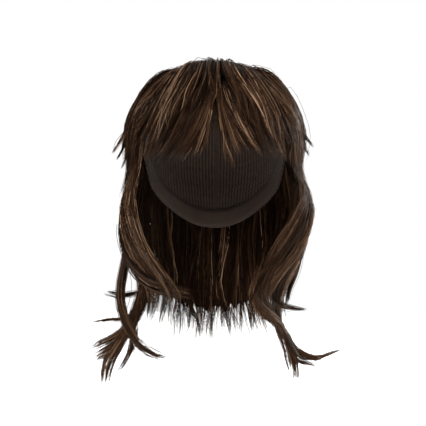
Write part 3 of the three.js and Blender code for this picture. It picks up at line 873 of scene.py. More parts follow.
@dataclass(frozen=True)
class FreeLock:
    """A lock that hangs free of its layer.

    Attributes:
        wide: Its width, as a share of the fullest lock's.
        deep: Its depth, likewise.
        strands: How many strands it has.
        path: Rows of out, back and drop, as shares of the head's half width, half length and the wig's depth.
        splay: How far its tips spread again, as a share of its width.
        stray: How unevenly its tufts end.
        root_spread: Share of its length that the roots are spread over.
        tone: Mean tone of its strands.

    The values in capitals are the same for all locks. The centre line has SAMPLES points for each stretch
    of the path, and goes on for BEYOND times the stray. Tips fan out from FAN_FROM of the length on.
    GATHERED is where strands start to draw in to the heart of their tuft, and how far.
    """

    wide: float
    deep: float
    strands: int
    path: tuple[tuple[float, float, float], ...]
    splay: float = 0.35
    stray: float = 4.0 * MM
    root_spread: float = 0.12
    tone: float = 0.47

    UNEVEN = Unevenness(
        tuft_tone=0.1, strand_pace=(5.0, 14.0), strand_tone=0.17, stray_share=0.05, stray_reach=2.5
    )
    FULL_WIDTH = 20.0 * MM
    FULL_DEPTH = 12.0 * MM
    STRAND_WIDTH = 0.55 * MM
    TUFT_RADIUS = 1.0 * MM
    FRIZZ = 0.6 * MM
    POINTS = 13
    SAMPLES = 24
    TUFT_STRANDS = 11
    BEYOND = 1.6
    FAN_FROM = 0.6
    GATHERED = (0.3, 0.35)

    def centre_line(self, head: HeadForm, side: Side, samples: int) -> np.ndarray:
        """Draws a smooth line through the path and as far past its end as tufts may reach.

        Args:
            head: The sizes that the path's shares refer to.
            side: The side that the lock hangs on.
            samples: How many points.

        Returns:
            The points in rows, evenly spaced.
        """
        reach = np.array((side.value * head.half_width, head.half_length, -head.depth))
        knots = np.array(self.path) * reach
        tip = knots[-1] + unit(knots[-1] - knots[-2]) * self.stray * self.BEYOND
        knots = np.vstack((2.0 * knots[0] - knots[1], knots, tip, 2.0 * tip - knots[-1]))
        dense = []
        for a, b, c, d in zip(knots, knots[1:], knots[2:], knots[3:]):
            t = np.linspace(0.0, 1.0, self.SAMPLES, endpoint=False)[:, None]
            cubic = 3.0 * (b - c) + d - a
            dense.append(b + 0.5 * t * (c - a + t * (2.0 * a - 5.0 * b + 4.0 * c - d + t * cubic)))
        line = np.vstack((*dense, knots[-2][None]))
        length = np.concatenate(((0.0,), np.cumsum(np.linalg.norm(np.diff(line, axis=0), axis=1))))
        spots = np.linspace(0.0, length[-1], samples)
        return np.stack([np.interp(spots, length, line[:, axis]) for axis in range(3)], axis=1)

    def comb(self, head: HeadForm, side: Side, rng: np.random.Generator) -> Strands:
        """Lays the lock's strands along its path.

        Args:
            head: The sizes that the path's shares refer to.
            side: The side that the lock hangs on.
            rng: Source of all unevenness.

        Returns:
            The strands.
        """
        samples = 4 * self.POINTS
        line = self.centre_line(head, side, samples)
        tangent = unit(np.gradient(line, axis=0))
        across = unit(np.cross(tangent, line * (1.0, 1.0, 0.0)))
        other = np.cross(across, tangent)
        length = float(np.linalg.norm(np.diff(line, axis=0), axis=1).sum())

        # Tufts
        uneven = self.UNEVEN
        tufts = max(3, self.strands // self.TUFT_STRANDS)
        tuft_angle = rng.uniform(0.0, math.tau, tufts)
        tuft_spread = np.sqrt(rng.uniform(0.0, 1.0, tufts))
        tuft_end = 1.0 - np.abs(rng.normal(0.0, self.stray / length, tufts))
        tuft_splay = rng.uniform(0.0, self.splay, tufts)
        tuft_tone = rng.normal(self.tone, uneven.tuft_tone, tufts)
        heart = np.stack((np.cos(tuft_angle), np.sin(tuft_angle)), 1) * tuft_spread[:, None]

        # Strands, each in a tuft
        count = self.strands
        tuft = rng.integers(0, tufts, count)
        begin = rng.uniform(0.0, self.root_spread, count)
        end = tuft_end[tuft] - np.abs(rng.normal(0.0, 0.5 * self.stray / length, count))
        t = mix(begin[:, None], end[:, None], np.linspace(0.0, 1.0, self.POINTS)[None, :])
        stray = uneven.strays(count, rng)
        own = rng.normal(0.0, self.TUFT_RADIUS, (count, 2)) * stray[:, None]
        frizz = rng.normal(0.0, self.FRIZZ, (count, 2)) * stray[:, None]
        pace = rng.uniform(*uneven.strand_pace, (count, 2))
        phase = rng.uniform(0.0, math.tau, (count, 2))

        # Where they run beside the centre line
        size = 0.5 * np.array((self.wide * self.FULL_WIDTH, self.deep * self.FULL_DEPTH))
        full = LOCK_TAPER.at(t)
        fan = 1.0 + tuft_splay[tuft][:, None] * ramp(t, self.FAN_FROM, 1.0) / LOCK_TAPER.tip
        gathered, left = self.GATHERED
        offsets = []
        for axis in range(2):
            place = size[axis] * heart[tuft, axis][:, None] * full * fan
            one = slice(axis, axis + 1)
            waver = frizz[:, one] * np.sin(pace[:, one] * t + phase[:, one])
            offsets.append(place + own[:, one] * mix(1.0, left, ramp(t, gathered, 1.0)) + waver * t)
        place = t * (samples - 1)
        grid = np.arange(samples)

        def along_line(values: np.ndarray) -> np.ndarray:
            """Reads rows of values at the strands' places along the line."""
            return np.stack([np.interp(place, grid, values[:, axis]) for axis in range(3)], axis=-1)

        paths = along_line(line) + along_line(across) * offsets[0][..., None]
        paths = paths + along_line(other) * offsets[1][..., None]
        tones = np.clip(tuft_tone[tuft] + rng.normal(0.0, uneven.strand_tone, count), 0.0, 1.0)
        widths = self.STRAND_WIDTH * rng.uniform(*uneven.strand_width, count)
        return Strands(paths, widths, tones)


def wisp(strands: int, *path: tuple[float, float, float]) -> FreeLock:
    """Describes a thin lock whose roots are spread over half of its length."""
    return FreeLock(wide=0.45, deep=0.29, strands=strands, path=path, root_spread=0.5)


TEMPLE_WISPS = {
    Side.LEFT: (
        wisp(
            34, (0.99, -0.3, 0.085), (1.13, -0.24, 0.14), (1.22, -0.19, 0.19), (1.3, -0.155, 0.222),
            (1.38, -0.13, 0.249),
        ),
        wisp(
            34, (1.0, -0.2, 0.09), (1.15, -0.17, 0.15), (1.22, -0.15, 0.205), (1.27, -0.13, 0.248),
            (1.33, -0.11, 0.272),
        ),
        wisp(
            30, (1.08, -0.13, 0.12), (1.18, -0.12, 0.18), (1.22, -0.11, 0.235), (1.24, -0.1, 0.278),
            (1.28, -0.09, 0.3),
        ),
    ),
    Side.RIGHT: (
        wisp(
            34, (0.99, -0.3, 0.085), (1.12, -0.24, 0.14), (1.2, -0.19, 0.19), (1.27, -0.155, 0.218),
            (1.33, -0.13, 0.232),
        ),
        wisp(
            34, (1.0, -0.2, 0.09), (1.14, -0.17, 0.15), (1.2, -0.15, 0.2), (1.24, -0.13, 0.24),
            (1.28, -0.11, 0.258),
        ),
    ),
}

LEFT_LOCKS = {
    "jaw": FreeLock(
        wide=1.1, deep=0.8, strands=220, splay=0.45, stray=8.0 * MM, root_spread=0.3,
        path=(
            (1.27, 0.12, 0.427), (1.27, 0.06, 0.512), (1.22, -0.04, 0.569), (1.12, -0.15, 0.616),
            (0.99, -0.26, 0.65), (0.84, -0.38, 0.672), (0.66, -0.49, 0.684), (0.41, -0.58, 0.695),
        ),
    ),
    "curl": FreeLock(
        wide=0.85, deep=0.85, strands=150, splay=0.25, stray=5.0 * MM, tone=0.54,
        path=(
            (1.17, 0.2, 0.498), (1.25, 0.19, 0.604), (1.31, 0.14, 0.68), (1.31, 0.08, 0.735),
            (1.26, 0.02, 0.785), (1.17, -0.08, 0.83), (1.02, -0.18, 0.872), (0.84, -0.26, 0.897),
            (0.66, -0.32, 0.905),
        ),
    ),
    "tail": FreeLock(
        wide=1.1, deep=0.9, strands=310, splay=1.2, stray=8.0 * MM, root_spread=0.2, tone=0.61,
        path=(
            (1.18, 0.16, 0.506), (1.06, 0.16, 0.61), (1.0, 0.15, 0.685), (1.05, 0.17, 0.747),
            (1.15, 0.2, 0.8), (1.27, 0.24, 0.844), (1.38, 0.27, 0.886), (1.48, 0.29, 0.928),
            (1.53, 0.3, 0.964), (1.55, 0.3, 0.997),
        ),
    ),
    "upper_flick": FreeLock(
        wide=0.7, deep=0.58, strands=110, splay=1.4, stray=6.0 * MM, root_spread=0.2, tone=0.6,
        path=(
            (1.08, 0.18, 0.754), (1.17, 0.21, 0.804), (1.31, 0.24, 0.839), (1.47, 0.26, 0.864),
            (1.67, 0.28, 0.89),
        ),
    ),
    "lower_flick": FreeLock(
        wide=1.0, deep=0.8, strands=160, splay=0.9, stray=6.0 * MM, root_spread=0.2, tone=0.61,
        path=(
            (1.04, 0.17, 0.702), (1.1, 0.19, 0.774), (1.22, 0.23, 0.834), (1.4, 0.26, 0.886),
            (1.66, 0.29, 0.927),
        ),
    ),
    "loop": FreeLock(
        wide=0.55, deep=0.42, strands=30, splay=0.9, stray=5.0 * MM, root_spread=0.2, tone=0.56,
        path=(
            (1.11, 0.18, 0.777), (1.25, 0.2, 0.794), (1.45, 0.21, 0.799), (1.66, 0.21, 0.805),
        ),
    ),
    "neck_wisp": FreeLock(
        wide=0.65, deep=0.5, strands=40, splay=0.4, stray=5.0 * MM, tone=0.52,
        path=(
            (1.05, 0.15, 0.705), (1.19, 0.17, 0.711), (1.35, 0.19, 0.715), (1.52, 0.2, 0.709),
        ),
    ),
    "inner_tip": FreeLock(
        wide=0.7, deep=0.58, strands=60, splay=0.6, stray=5.0 * MM, tone=0.52,
        path=(
            (1.11, 0.24, 0.808), (1.16, 0.31, 0.869), (1.21, 0.37, 0.914), (1.29, 0.4, 0.944),
            (1.37, 0.41, 0.968),
        ),
    ),
}

RIGHT_LOCKS = {
    "curtain": FreeLock(
        wide=1.3, deep=0.6, strands=300, splay=0.45, stray=6.0 * MM, root_spread=0.3,
        path=(
            (1.29, 0.12, 0.447), (1.26, 0.07, 0.515), (1.14, 0.0, 0.57), (0.97, -0.1, 0.612),
            (0.78, -0.21, 0.641), (0.61, -0.33, 0.671), (0.53, -0.42, 0.713),
        ),
    ),
    "flip": FreeLock(
        wide=0.5, deep=0.55, strands=150, splay=0.45, root_spread=0.25, tone=0.63,
        path=(
            (1.16, 0.06, 0.557), (1.02, -0.06, 0.611), (0.8, -0.2, 0.654), (0.6, -0.34, 0.69),
            (0.57, -0.42, 0.726), (0.63, -0.42, 0.754), (0.76, -0.38, 0.775), (0.88, -0.33, 0.799),
            (0.95, -0.28, 0.833), (1.04, -0.24, 0.869), (1.18, -0.21, 0.895), (1.34, -0.2, 0.91),
            (1.51, -0.19, 0.904), (1.69, -0.19, 0.887),
        ),
    ),
    "down_tip": FreeLock(
        wide=0.75, deep=0.58, strands=84, splay=0.6, stray=6.0 * MM, tone=0.6,
        path=(
            (0.95, -0.29, 0.82), (1.02, -0.25, 0.866), (1.08, -0.23, 0.911), (1.11, -0.22, 0.943),
            (1.12, -0.22, 0.978),
        ),
    ),
    "low_strand": FreeLock(
        wide=0.7, deep=0.6, strands=96, splay=0.6, stray=6.0 * MM, tone=0.6,
        path=(
            (0.97, -0.27, 0.843), (1.11, -0.24, 0.898), (1.24, -0.23, 0.915), (1.42, -0.22, 0.921),
        ),
    ),
    "shoulder_flick": FreeLock(
        wide=0.7, deep=0.58, strands=66, splay=0.4, stray=5.0 * MM, tone=0.58,
        path=(
            (0.78, 0.0, 0.666), (0.79, 0.0, 0.712), (0.89, -0.02, 0.742), (1.03, -0.04, 0.754),
            (1.2, -0.05, 0.759),
        ),
    ),
    "ear_tail": FreeLock(
        wide=0.8, deep=0.58, strands=80, splay=0.6, stray=6.0 * MM, tone=0.5,
        path=(
            (1.19, 0.1, 0.56), (1.12, 0.12, 0.634), (1.04, 0.14, 0.689), (1.0, 0.14, 0.737),
        ),
    ),
    "inner_tail": FreeLock(
        wide=0.7, deep=0.58, strands=90, splay=0.5, stray=6.0 * MM, tone=0.5,
        path=(
            (0.9, 0.17, 0.65), (0.88, 0.21, 0.75), (0.92, 0.23, 0.83), (1.0, 0.25, 0.89),
            (1.06, 0.26, 0.959),
        ),
    ),
    "neck": FreeLock(
        wide=0.7, deep=0.58, strands=100, splay=0.4, stray=10.0 * MM, root_spread=0.2, tone=0.56,
        path=(
            (1.1, 0.02, 0.59), (0.85, -0.06, 0.648), (0.7, -0.14, 0.697), (0.71, -0.2, 0.74),
            (0.83, -0.25, 0.78), (0.93, -0.27, 0.824), (1.0, -0.26, 0.86),
        ),
    ),
}


@dataclass(frozen=True)
class HairFinish:
    """Dark ash brown synthetic hair: tones from strand to strand, darker roots and a satin gloss."""

    tones: tuple[tuple[float, tuple[float, float, float]], ...] = (
        (0.0, (0.0008, 0.0003, 0.0002)),
        (0.3, (0.0023, 0.0008, 0.0004)),
        (0.55, (0.008, 0.0034, 0.0016)),
        (0.8, (0.034, 0.0175, 0.009)),
        (1.0, (0.15, 0.092, 0.056)),
    )
    root_shade: float = 0.6
    tip_shade: float = 1.35
    roughness: float = 0.38
    specular: float = 0.04
    roots_until: float = 0.3
    gloss_tint: tuple[float, float, float] = (1.0, 0.76, 0.56)

    def material(self, name: str) -> bpy.types.Material:
        """Makes the material, whose colour hangs on the UV map alone.

        Args:
            name: Name of the material.

        Returns:
            The material.
        """
        material, nodes, links, shader = new_material(name)
        place = uv_place(nodes)
        split = nodes.new("ShaderNodeSeparateXYZ")
        links.new(place.outputs["UV"], split.inputs["Vector"])
        tone = nodes.new("ShaderNodeValToRGB")
        fill_ramp(tone.color_ramp, self.tones)
        links.new(split.outputs["X"], tone.inputs["Fac"])
        shade = nodes.new("ShaderNodeValToRGB")
        grey = ((0.0, self.root_shade), (self.roots_until, 1.0), (1.0, self.tip_shade))
        fill_ramp(shade.color_ramp, tuple((at, (value, value, value)) for at, value in grey))
        links.new(split.outputs["Y"], shade.inputs["Fac"])
        product = nodes.new("ShaderNodeMix")
        product.data_type = "RGBA"
        product.blend_type = "MULTIPLY"
        product.inputs["Factor"].default_value = 1.0
        links.new(tone.outputs["Color"], product.inputs["A"])
        links.new(shade.outputs["Color"], product.inputs["B"])
        links.new(product.outputs["Result"], shader.inputs["Base Color"])
        shader.inputs["Roughness"].default_value = self.roughness
        shader.inputs["Specular IOR Level"].default_value = self.specular
        shader.inputs["Specular Tint"].default_value = (*self.gloss_tint, 1.0)
        return material


@dataclass(frozen=True)
class KnitFinish:
    """Dark stretch fabric: fine knit ribs, mottled, with a raised grain."""

    dark: tuple[float, float, float] = (0.0075, 0.0045, 0.0034)
    light: tuple[float, float, float] = (0.034, 0.022, 0.0155)
    ribs: float = 260.0
    roughness: float = 0.9
    specular: float = 0.12
    sheen: float = 0.04
    wobble: float = 1.5
    mottle_ribs: float = 4.0
    mottle: float = 0.45
    grain: float = 0.35
    grain_height: float = 0.3 * MM

    def material(self, name: str) -> bpy.types.Material:
        """Makes the material.

        Args:
            name: Name of the material.

        Returns:
            The material.
        """
        material, nodes, links, shader = new_material(name)
        place = uv_place(nodes)
        rib = nodes.new("ShaderNodeTexWave")
        rib.bands_direction = "X"
        rib.inputs["Scale"].default_value = self.ribs / math.tau
        rib.inputs["Distortion"].default_value = self.wobble
        rib.inputs["Detail"].default_value = 2.0
        links.new(place.outputs["UV"], rib.inputs["Vector"])
        mottle = nodes.new("ShaderNodeTexNoise")
        mottle.inputs["Scale"].default_value = self.ribs / self.mottle_ribs
        links.new(place.outputs["UV"], mottle.inputs["Vector"])
        blend = nodes.new("ShaderNodeMix")
        blend.data_type = "FLOAT"
        blend.inputs["Factor"].default_value = self.mottle
        links.new(rib.outputs["Fac"], blend.inputs["A"])
        links.new(mottle.outputs["Fac"], blend.inputs["B"])
        colour = nodes.new("ShaderNodeValToRGB")
        fill_ramp(colour.color_ramp, ((0.2, self.dark), (0.8, self.light)))
        links.new(blend.outputs["Result"], colour.inputs["Fac"])
        links.new(colour.outputs["Color"], shader.inputs["Base Color"])
        bump = nodes.new("ShaderNodeBump")
        bump.inputs["Strength"].default_value = self.grain
        bump.inputs["Distance"].default_value = self.grain_height
        links.new(blend.outputs["Result"], bump.inputs["Height"])
        links.new(bump.outputs["Normal"], shader.inputs["Normal"])
        shader.inputs["Roughness"].default_value = self.roughness
        shader.inputs["Specular IOR Level"].default_value = self.specular
        shader.inputs["Sheen Weight"].default_value = self.sheen
        return material


def new_material(name: str) -> tuple[bpy.types.Material, object, object, bpy.types.Node]:
    """Starts a node material with one principled shader.

    Args:
        name: Name of the material.

    Returns:
        The material, its nodes, its links and the shader.
    """
    material = bpy.data.materials.new(name)
    material.use_nodes = True
    tree = material.node_tree
    return material, tree.nodes, tree.links, tree.nodes["Principled BSDF"]


def uv_place(nodes: bpy.types.Nodes) -> bpy.types.Node:
    """Adds a node that reads the UV map.

    Args:
        nodes: The material's nodes.

    Returns:
        The new node.
    """
    place = nodes.new("ShaderNodeUVMap")
    place.uv_map = UV_NAME
    return place


def fill_ramp(
    colour_ramp: bpy.types.ColorRamp, stops: Sequence[tuple[float, tuple[float, float, float]]]
) -> None:
    """Sets the stops of a colour ramp.

    Args:
        colour_ramp: The ramp.
        stops: Place and colour of each stop, in order.
    """
    elements = colour_ramp.elements
    while len(elements) < len(stops):
        elements.new(1.0)
    for element, (place, colour) in zip(elements, stops):
        element.position = place
        element.color = (*colour, 1.0)


@dataclass
class WigCap:
    """The stretch cap, with rows of stitched wefts inside, and the elastic band inside its rim."""

    head: HeadForm
    rim: Hem = Hem(
        (0.0, 35.0, 60.0, 75.0, 95.0, 120.0, 150.0, 180.0), (0.62, 0.67, 0.84, 0.95, 0.93, 1.12, 1.26, 1.3)
    )
    columns: int = 100
    rows: int = 66
    weft_pitch: float = 9.0 * MM
    weft_height: float = 0.7 * MM
    weft_sharpness: int = 12
    wefts_from: tuple[float, float] = (0.05, 0.12)
    wefts_until: tuple[float, float] = (0.16, 0.12)
    pole: float = 0.002
    band_columns: int = 400
    band_rows: int = 5
    band_height: float = 12.0 * MM
    band_wall: float = 1.2 * MM
    band_gap: float = 0.5 * MM
    rib_pitch: float = 3.4 * MM
    rib_height: float = 0.25 * MM

    def shell(
        self,
        start: np.ndarray,
        rows: int,
        inner: Curve,
        outer: Curve,
        name: str,
        material: bpy.types.Material,
    ) -> bpy.types.Object:
        """Makes a closed shell round the head, down to the rim.

        Args:
            start: Where each column starts along the meridian.
            rows: Rows of points.
            inner: Offset of the inside, at columns and places.
            outer: Offset of the outside, likewise.
            name: Name of the piece.
            material: What it is made of.

        Returns:
            The object.
        """
        azimuth = np.linspace(-180.0, 180.0, len(start), endpoint=False)[:, None]
        along = mix(start[:, None], self.rim.at(azimuth), np.linspace(0.0, 1.0, rows)[None, :])
        maker = MeshMaker()
        sheets = [self.head.off_bed(azimuth, along, depth(azimuth, along)) for depth in (outer, inner)]
        maker.add_sheet(*sheets, np.linspace(0.0, 0.99, len(start)), True)
        return maker.build(name, material)

    def cap(self, material: bpy.types.Material) -> bpy.types.Object:
        """Makes the cap.

        Args:
            material: What it is made of.

        Returns:
            The object.
        """
        meridian = math.pi / 2.0 * self.head.mean_radius

        def inside(azimuth: np.ndarray, along: np.ndarray) -> np.ndarray:
            """Gives the inside, where the wefts stand proud above the band.

            Args:
                azimuth: Degrees from the front.
                along: Places along the meridian.

            Returns:
                Distances off the cap's outside.
            """
            wave = np.abs(np.cos(math.pi * along * meridian / self.weft_pitch)) ** self.weft_sharpness
            rim = self.rim.at(azimuth)
            clear = 1.0 - ramp(along, rim - self.wefts_until[0], rim - self.wefts_until[1])
            return -self.head.wall - self.weft_height * wave * clear * ramp(along, *self.wefts_from)

        start = np.full(self.columns, self.pole)
        return self.shell(
            start, self.rows, inside, lambda azimuth, along: 0.0 * along, "wig_cap_knit", material
        )

    def band(self, material: bpy.types.Material) -> bpy.types.Object:
        """Makes the elastic band.

        Args:
            material: What it is made of.

        Returns:
            The object.
        """
        columns = self.band_columns
        span = self.band_height / (math.pi / 2.0 * self.head.mean_radius)
        start = self.rim.at(np.linspace(-180.0, 180.0, columns, endpoint=False)) - span
        outside = -self.head.wall - self.band_gap

        def inside(azimuth: np.ndarray, along: np.ndarray) -> np.ndarray:
            """Gives the inside, gathered into upright ribs."""
            ribs = np.cos(np.radians(azimuth) * self.head.mean_radius * math.tau / self.rib_pitch)
            return outside - self.band_wall + self.rib_height * (1.0 + ribs) * np.ones_like(along)

        return self.shell(
            start,
            self.band_rows,
            inside,
            lambda azimuth, along: outside + 0.0 * along,
            "edge_band_elastic",
            material,
        )


@dataclass
class HairDresser:
    """Builds all layers of hair over one head form.

    Attributes:
        head: The surface under the hair.
        stack: How the layers lie over each other.
        seed: Start of the random numbers, one higher for each layer.
        seam: Degrees that a layer is combed over the seam behind it.
        whorl_turn: Degrees that the crown hair turns round the whorl.
        whorl_reach: Where along the meridian that turn has run out.
        crown_sweep: Degrees that the crown hair turns away from the parting.
        sweep_along: Between which places along the meridian it turns.
        sweep_near: Between which azimuths the turn sets in.
        sweep_far: Between which azimuths it runs out.
        fringe_gather: Share of the azimuth by which the fringe's roots are drawn in, inside and outside.
        gather_between: Azimuths between which the one turns into the other.
        gather_bend: How late along a strand the fringe sweeps out again.
        fringe_tone: Mean tone of the fringe, set darker as a painted shadow over the forehead.
        swing: Degrees that the front edge of the side hair swings forward.
        swing_between: Between which places along the meridian it swings.
        side_tone: Mean tone of the side hair.
        back_ends: Where the back hair ends, at its sides and in the middle.
        nape_ends: Where the nape hair ends, likewise.
        back_dense: Share of their length down to which both are too dense to see through.
        back_thin_edge: How much less of it that is at the sides.
    """

    head: HeadForm
    stack: Stack
    seed: int = 20
    seam: float = 2.0
    whorl_turn: float = 40.0
    whorl_reach: float = 0.3
    crown_sweep: float = 23.0
    sweep_along: tuple[float, float] = (0.45, 1.05)
    sweep_near: tuple[float, float] = (0.0, 16.0)
    sweep_far: tuple[float, float] = (50.0, 105.0)
    fringe_gather: tuple[float, float] = (0.85, 0.3)
    gather_between: tuple[float, float] = (24.0, 64.0)
    gather_bend: float = 2.1
    # Painted shadow: the fringe is darker than the crown and the sides.
    fringe_tone: float = 0.41
    swing: float = 30.0
    swing_between: tuple[float, float] = (1.1, 1.6)
    side_tone: float = 0.46
    back_ends: tuple[float, float] = (1.56, 1.64)
    nape_ends: tuple[float, float] = (1.79, 1.86)
    back_dense: float = 0.83
    back_thin_edge: float = 0.3
    crown_hem: Hem = Hem(
        (0.0, 20.0, 50.0, 90.0, 120.0, 150.0, 180.0), (0.74, 0.81, 0.99, 1.06, 1.2, 1.32, 1.36)
    )
    fringe_left_hem: Hem = Hem(
        (0.0, 6.0, 10.5, 17.0, 24.5, 36.5, 47.0, 64.0), (0.83, 0.88, 0.945, 0.98, 1.02, 0.99, 1.005, 1.0)
    )
    fringe_right_hem: Hem = Hem(
        (0.0, 8.0, 10.5, 13.5, 20.0, 33.0, 50.0, 64.0), (0.82, 0.9, 0.965, 1.035, 0.995, 0.96, 0.98, 0.98)
    )
    temple_hem: Hem = Hem((66.0, 90.0, 119.0), (1.06, 1.1, 1.2))
    side_hem: Hem = Hem((69.0, 90.0, 119.0), (1.56, 1.62, 1.72))
    crown_comb: Comb = Comb(
        2000, 10, pitch=9.0 * MM, tufts=8, pinch=0.35, ragged=8.0 * MM, stray=14.0 * MM, wave=1.8 * MM,
        frizz=0.6 * MM, flick=2.0 * MM, root_spread=0.6, settle=0.3,
    )
    fringe_comb: Comb = Comb(
        950, 10, pitch=8.0 * MM, tufts=8, pinch=0.5, ragged=5.0 * MM, stray=9.0 * MM, wave=1.5 * MM,
        drift=3.0 * MM, flick=2.0 * MM, haste=0.75,
    )
    temple_comb: Comb = Comb(
        650, 8, pitch=9.0 * MM, pinch=0.3, ragged=10.0 * MM, stray=16.0 * MM, wave=2.5 * MM,
        flick=1.0 * MM, settle=0.15,
    )
    side_comb: Comb = Comb(
        1350, 12, pitch=10.0 * MM, tufts=11, pinch=0.35, ragged=12.0 * MM, stray=18.0 * MM,
        wave=4.2 * MM, frizz=0.8 * MM, flick=5.0 * MM,
    )
    back_comb: Comb = Comb(
        1900, 11, pitch=11.0 * MM, tufts=12, pinch=0.12, ragged=7.0 * MM, stray=15.0 * MM,
        thinning=0.8, wave=6.0 * MM, drift=6.0 * MM, flick=6.0 * MM, settle=0.2,
    )

    def layers(self) -> list[HairLayer]:
        """Lists the layers, from the crown down."""
        return [*self.crown(), *self.fringe(), *self.temples(), *self.sides(), *self.long_back()]

    def crown(self) -> list[HairLayer]:
        """Describes the crown hair, in a left and a right half that meet in the parting.

        Returns:
            The two halves.
        """
        back = 180.0 + 2.0 * self.seam
        return [
            HairLayer(
                "crown_hair",
                sector,
                0.0,
                self.crown_hem,
                self.stack.crown_depth,
                self.stack.crown_lift,
                self.crown_comb,
                self.round_whorl,
                part=part,
            )
            for part, sector in (("_left_half", (-back, 0.0)), ("_right_half", (0.0, back)))
        ]

    def round_whorl(self, azimuth: np.ndarray, along: np.ndarray, t: np.ndarray) -> np.ndarray:
        """Turns the crown hair round the whorl and, in front, away from the parting.

        Args:
            azimuth: Degrees from the front.
            along: Places along the meridian.
            t: Shares of the strands' length.

        Returns:
            Degrees to turn by.
        """
        whorl = self.whorl_turn * (1.0 - ramp(along, 0.0, self.whorl_reach))
        near = np.abs(azimuth)
        away = self.crown_sweep * ramp(along, *self.sweep_along) * ramp(near, *self.sweep_near)
        away = away * (1.0 - ramp(near, *self.sweep_far))
        return whorl + away * np.sign(azimuth) + 0.0 * t

    def fringe(self) -> list[HairLayer]:
        """Describes the parted fringe, combed away from the parting.

        Returns:
            Its two sides.
        """
        stack = self.stack
        hems = {Side.LEFT: self.fringe_left_hem, Side.RIGHT: self.fringe_right_hem}
        return [
            HairLayer(
                f"fringe_{side.name.lower()}",
                self.sector(side, stack.fringe_sector),
                stack.fringe_root,
                hems[side],
                even(stack.fringe),
                stack.seat,
                self.fringe_comb,
                self.off_parting,
                self.fringe_tone,
            )
            for side in Side
        ]

    def off_parting(self, azimuth: np.ndarray, along: np.ndarray, t: np.ndarray) -> np.ndarray:
        """Draws the fringe's roots to the parting, so that its tips sweep sideways, less so outside.

        Args:
            azimuth: Degrees from the front.
            along: Places along the meridian.
            t: Shares of the strands' length.

        Returns:
            Degrees to turn by.
        """
        gather = mix(*self.fringe_gather, ramp(np.abs(azimuth), *self.gather_between))
        return -gather * azimuth * (1.0 - t**self.gather_bend) + 0.0 * along

    def temples(self) -> list[HairLayer]:
        """Describes the short hair over the ears.

        Returns:
            Its two sides.
        """
        stack = self.stack
        return [
            HairLayer(
                f"temple_hair_{side.name.lower()}",
                self.sector(side, stack.temple_sector),
                stack.temple_root,
                self.temple_hem,
                even(stack.temple),
                stack.temple_lift,
                self.temple_comb,
            )
            for side in Side
        ]

    def sides(self) -> list[HairLayer]:
        """Describes the long side hair, whose front edge swings forward.

        Returns:
            Its two sides.
        """
        stack = self.stack
        return [
            HairLayer(
                f"side_hair_{side.name.lower()}",
                self.sector(side, stack.side_sector),
                stack.side_root,
                self.side_hem,
                stack.side_depth,
                stack.seat,
                self.side_comb,
                self.forward(side),
                self.side_tone,
            )
            for side in Side
        ]

    def forward(self, side: Side) -> Lean:
        """Makes the swing of the side hair.

        Args:
            side: Its side.

        Returns:
            A function that turns the front edge forward as it drops.
        """

        def lean(azimuth: np.ndarray, along: np.ndarray, t: np.ndarray) -> np.ndarray:
            """Gives the degrees to turn by, from azimuth, place and share of the length."""
            edge = 1.0 - ramp(np.abs(azimuth), *self.stack.side_sector)
            return -side.value * self.swing * ramp(along, *self.swing_between) * edge + 0.0 * t

        return lean

    def long_back(self) -> list[HairLayer]:
        """Describes the two long layers at the back.

        Returns:
            The back hair and the nape hair.
        """
        stack = self.stack
        low = stack.back_sector[0] - self.seam
        whole = (low, 360.0 - low)
        rows = (
            ("back_hair", stack.back_root, stack.back_lift, stack.back, self.back_ends),
            ("nape_hair", stack.nape_root, stack.seat, stack.nape, self.nape_ends),
        )
        return [
            HairLayer(
                node,
                whole,
                root,
                Hem((low, 180.0, whole[1]), (ends[0], ends[1], ends[0])),
                even(thick),
                self.wrapped(lift),
                self.back_comb,
                dense=self.back_dense,
                thin_edge=self.back_thin_edge,
            )
            for node, root, lift, thick, ends in rows
        ]

    def sector(self, side: Side, sector: tuple[float, float]) -> tuple[float, float]:
        """Puts a sector on one side, in rising order, with its rear edge combed over the seam behind it."""
        low, high = sector[0], sector[1] + self.seam
        return (low, high) if side is Side.RIGHT else (-high, -low)

    @staticmethod
    def wrapped(lift: Curve) -> Curve:
        """Makes a seat read azimuths past half a turn."""
        return lambda azimuth, along: lift((azimuth + 180.0) % 360.0 - 180.0, along)

    def dress(self, hair: bpy.types.Material, shaded_depths: bpy.types.Material) -> None:
        """Builds every layer with its free locks.

        Args:
            hair: The strands that catch the light.
            shaded_depths: The dense hair between them, near black as painted shade between the strands.
        """
        free = {
            "side_hair_left": (Side.LEFT, LEFT_LOCKS.values()),
            "side_hair_right": (Side.RIGHT, RIGHT_LOCKS.values()),
        }
        for number, layer in enumerate(self.layers()):
            rng = np.random.default_rng(self.seed + number)
            bed = MeshMaker()
            layer.bed(bed, self.head, rng)
            strands = MeshMaker()
            strands.add_strands(layer.strands(self.head, rng))
            side, locks = free.get(layer.node, (Side.LEFT, ()))
            if layer.node == "crown_hair":
                side = Side.LEFT if layer.sector[0] < 0.0 else Side.RIGHT
                locks = TEMPLE_WISPS[side]
            for lock in locks:
                strands.add_strands(lock.comb(self.head, side, rng))
            name = layer.node + layer.part
            seat(bed.build(f"{name}_depths", shaded_depths), layer.node)
            seat(strands.build(f"{name}_strands", hair), layer.node)


def seat(piece: bpy.types.Object, node: str) -> None:
    """Fixes a piece to the wig in place of one of its solids.

    Args:
        piece: The piece.
        node: The solid that it stands for.
    """
    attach(piece, BODY)
    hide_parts(node)


